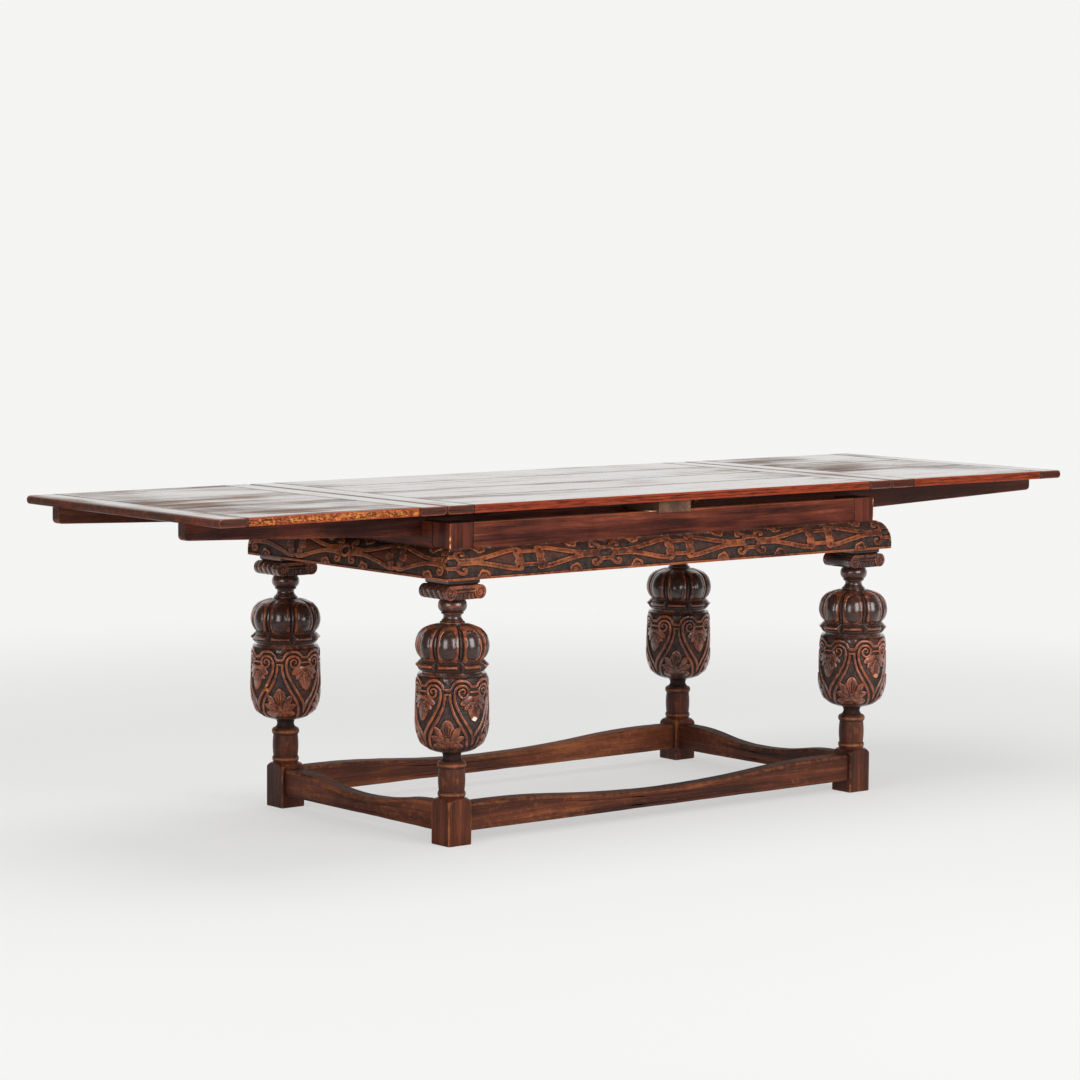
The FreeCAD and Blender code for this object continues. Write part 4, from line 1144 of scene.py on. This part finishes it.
def friezeParts(half, relief, pitch, first, seed):
    start, level = frieze["low"] + frieze["fillet"], frieze["filletRows"]
    rise = frieze["high"] - frieze["low"] - frieze["fillet"]
    turn = np.linspace(0, math.pi / 2, frieze["curveRows"])[1:]
    reach = np.concatenate([np.full(level, frieze["reach"]), frieze["reach"] * np.cos(turn)])
    height = np.concatenate([np.linspace(frieze["low"], start, level), start + rise * np.sin(turn)])
    outX = np.concatenate([np.ones(level), np.cos(turn)])
    outZ = np.concatenate([np.zeros(level), np.sin(turn) * frieze["reach"] / rise])
    size = np.hypot(outX, outZ)
    run = np.concatenate([[0], np.cumsum(np.hypot(np.diff(reach), np.diff(height)))])
    cols = int(2 * (half + frieze["reach"]) / frieze["step"])
    share = np.linspace(-1, 1, cols)
    x = share[None, :] * (half + reach)[:, None]
    y = np.repeat((run - run[-1] / 2)[:, None], cols, 1)
    raised, panel = relief(x, y, pitch, first)
    made = np.random.default_rng(seed)
    stipple = made.normal(0, frieze["stipple"], x.shape) * (1 - raised)
    toEdge = np.minimum(run, run[-1] - run)[:, None]
    toMitre = (1 - np.abs(share))[None, :] * half
    calm = smooth(toEdge, 0.0, 2.0) * smooth(toMitre, 0.0, 3.0)
    drop = (frieze["depth"] * (1 - raised) * (1 - frieze["panelRise"] * panel) - stipple) * calm
    depth = np.maximum(reach[:, None] - drop * (outX / size)[:, None], 0.3)
    points = np.stack([x, -depth, height[:, None] - drop * (outZ / size)[:, None]], -1)
    # painted shade at the foot of the raised work; the lower edge and the crests are worn, and the borders of the
    # raised work are also lit as a painted highlight
    shadow, border = reliefEdges(raised, 4, False)
    crest = np.maximum(np.exp(-run / 2.5)[:, None], raised * (0.44 + 0.44 * border))
    # pale wax with painted glints on the slopes of the raised work, more toward the top where light falls; the top
    # strip is paler with dusting and painted sheen, and the mitres with painted glints
    rim = np.clip(1 - np.abs(raised - 0.5) / 0.45, 0, 1) * (0.45 + 0.55 * smooth(y, -10.0, 25.0))
    paleDustAndSheen = smooth(y, 27.0, 38.0) * 0.7 + np.exp(-toMitre / 2.5) * 0.9
    # the ground is paler toward the top: painted light where the upper curve faces the lamps
    sunk = (1 - raised) * (1 - frieze["panelClean"] * panel) * (1 - 0.5 * smooth(y, 20.0, 33.0))
    # pale chips along the mitres, also painted glints
    mitreChipsAndGlints = 0.72 * band(toMitre, 1.5, 1.6) * smooth(np.sin(y / 3.9) + np.sin(y / 1.7 + 1.3), 0.2, 0.9)
    face = {"points": points, "faces": gridFaces(len(run), cols), "sunk": sunk, "arris": crest,
            "rim": np.maximum(rim, paleDustAndSheen), "shadow": shadow, "chip": mitreChipsAndGlints}
    top, bottom = points[-1], points[0]
    hiddenTop, hiddenLow = top.copy(), bottom.copy()
    hiddenTop[:, 1], hiddenLow[:, 1] = 0.0, 0.0
    hiddenTop[:, 0] = np.clip(hiddenTop[:, 0], -half, half)
    hiddenLow[:, 0] = share * half
    shell = np.stack([top, hiddenTop, hiddenLow, bottom])
    parts = [face, {"points": shell, "faces": gridFaces(4, cols)}]
    for k, turned in ((0, False), (-1, True)):
        loop = np.concatenate([points[:, k], shell[1:3, k]])
        ring = list(range(len(loop)))
        parts.append({"points": loop, "faces": [ring[::-1] if turned else ring]})
    return parts


longSide = (faceX, faceY, friezeRelief, frieze["longPitch"], 0.0)
endSide = (faceY, faceX, endRelief, frieze["endPitch"], frieze["endPitch"])
friezeSides = {"front": (*longSide, 0), "right": (*endSide, 90), "back": (*longSide, 180), "left": (*endSide, 270)}
for index, (name, (half, distance, relief, pitch, first, turn)) in enumerate(friezeSides.items()):
    node = f"frieze_{name}"
    mesh = makeMesh("carved_" + node, friezeParts(half, relief, pitch, first, 201 + index), friezeX, 60.0)
    place = Matrix.Rotation(math.radians(turn), 4, "Z") @ Matrix.Translation((0, -distance * unit, 0))
    showPiece("carved_" + node, mesh, "table_frame", [node], place)
print("friezes made")


# stage: a floor that melts into a white backdrop, soft lamps and the camera

stage = {"backdrop": (0.908, 0.908, 0.900, 1.0), "floor": (0.80, 0.80, 0.78), "reach": 14.0, "near": 1.4, "far": 4.2,
         "glow": 0.56, "backdropSide": (0.63, 0.77, 0.1), "room": (0.06, 0.06, 0.06, 1.0), "level": 0.36}
# place, target, size and power
lamps = {"frontSoftbox": ((0.4, -5.2, 2.3), (0, 0, 0.5), (3.2, 3.2), 186),
         "leftSoftbox": ((-5.0, -1.8, 1.8), (0, 0, 0.5), (2.6, 2.6), 96),
         "overheadSoftbox": ((0, 0.4, 4.2), (0, 0, 0.6), (3.5, 2.5), 70)}
photoView = {"place": (-5.4675, -6.5625, 1.4217), "azimuth": -39.23, "elevation": 5.25, "roll": 0.39, "lens": 116.8,
             "sensor": 36.0}
pictureRays = ("Is Camera Ray", "Is Glossy Ray", "Is Transmission Ray")


def lightPath(w, *rays):
    total = w.make("ShaderNodeLightPath", None, None, rays[0])
    for ray in rays[1:]:
        total = total + w.make("ShaderNodeLightPath", None, None, ray)
    return total.ease(0.0, 1.0)


def facingBackdrop(w, coordinate):  # grows toward the backdrop's side of the studio
    toward = w.make("ShaderNodeTexCoord", None, None, coordinate)
    return w.make("ShaderNodeVectorMath", {"operation": "DOT_PRODUCT"}, {0: toward, 1: stage["backdropSide"]}, "Value")


def floorMaterial():
    material = bpy.data.materials.new("paleFloor")
    material.use_nodes = True
    tree = material.node_tree
    shader = tree.nodes["Principled BSDF"]
    shader.inputs["Roughness"].default_value = 0.9
    shader.inputs["Specular IOR Level"].default_value = 0.0
    w = Wire(tree)
    place = w.make("ShaderNodeTexCoord", None, None, "Object")
    reach = w.make("ShaderNodeVectorMath", {"operation": "LENGTH"}, {0: place}, "Value")
    grain = w.noise(place, 1.3, 3.0, 0.5)
    w.tint(grain.ease(0.3, 0.7) * 0.25, stage["floor"], shade(stage["floor"], 0.97)).into(shader, "Base Color")
    # toward the camera the studio floor runs out into the darker room, which polish mirrors
    pale, room = [w.make("ShaderNodeEmission", None, {"Color": stage[key], "Strength": 1.0})
                  for key in ("backdrop", "room")]
    darker = (1.0 - facingBackdrop(w, "Object").ease(-0.7, 0.5)) * lightPath(w, "Is Glossy Ray")
    glow = w.make("ShaderNodeMixShader", None, {0: darker, 1: pale, 2: room})
    melt = stage["glow"] + reach.ease(stage["near"], stage["far"]) * (1.0 - stage["glow"])
    lit = Wire(tree, shader.outputs[0])
    mixed = w.make("ShaderNodeMixShader", None, {0: melt * lightPath(w, *pictureRays), 1: lit, 2: glow})
    mixed.into(tree.nodes["Material Output"], "Surface")
    return material


def makeStage():
    world = bpy.data.worlds.new("studio")
    bpy.context.scene.world = world
    world.use_nodes = True
    tree = world.node_tree
    tree.nodes.clear()
    w = Wire(tree)
    light = w.make("ShaderNodeBackground", None, {"Color": (1.0, 1.0, 1.0, 1.0), "Strength": stage["level"]})
    pale, room = [w.make("ShaderNodeBackground", None, {"Color": stage[key], "Strength": 1.0})
                  for key in ("backdrop", "room")]
    mixed = w.make("ShaderNodeMixShader", None, {0: lightPath(w, *pictureRays), 1: light, 2: pale})
    # the room on the camera's side of the studio is darker than the backdrop, so polish there mirrors less
    darker = (1.0 - facingBackdrop(w, "Generated").ease(0.25, 0.8)) * lightPath(w, "Is Glossy Ray")
    mixed = w.make("ShaderNodeMixShader", None, {0: darker, 1: mixed, 2: room})
    mixed.into(tree.nodes.new("ShaderNodeOutputWorld"), "Surface")
    side = stage["reach"]
    mesh = bpy.data.meshes.new("floor")
    mesh.from_pydata([(-side, -side, 0), (side, -side, 0), (side, side, 0), (-side, side, 0)], [], [(0, 1, 2, 3)])
    mesh.materials.append(floorMaterial())
    floor = bpy.data.objects.new("floor", mesh)
    bpy.context.scene.collection.objects.link(floor)


def areaLamp(name, place, target, size, power):
    lamp = bpy.data.lights.new(name, "AREA")
    lamp.shape = "RECTANGLE"
    lamp.size, lamp.size_y = size
    lamp.energy = power
    holder = bpy.data.objects.new(name, lamp)
    bpy.context.scene.collection.objects.link(holder)
    holder.location = place
    holder.rotation_euler = (Vector(target) - Vector(place)).to_track_quat("-Z", "Y").to_euler()


def makeCamera():
    data = bpy.data.cameras.new("photoCamera")
    data.sensor_width = photoView["sensor"]
    data.lens = photoView["lens"]
    camera = bpy.data.objects.new("photoCamera", data)
    bpy.context.scene.collection.objects.link(camera)
    a, e, r = [math.radians(photoView[key]) for key in ("azimuth", "elevation", "roll")]
    back = Vector((math.sin(a) * math.cos(e), -math.cos(a) * math.cos(e), math.sin(e)))
    right = (-back).cross(Vector((0, 0, 1))).normalized()
    up = right.cross(-back)
    turnedRight = right * math.cos(r) + up * math.sin(r)
    turnedUp = up * math.cos(r) - right * math.sin(r)
    turn = Matrix((turnedRight, turnedUp, back)).transposed().to_4x4()
    camera.matrix_world = Matrix.Translation(photoView["place"]) @ turn
    bpy.context.scene.camera = camera


makeStage()
for name, settings in lamps.items():
    areaLamp(name, *settings)
makeCamera()
bpy.context.scene.view_settings.view_transform = "Standard"
print("stage made")
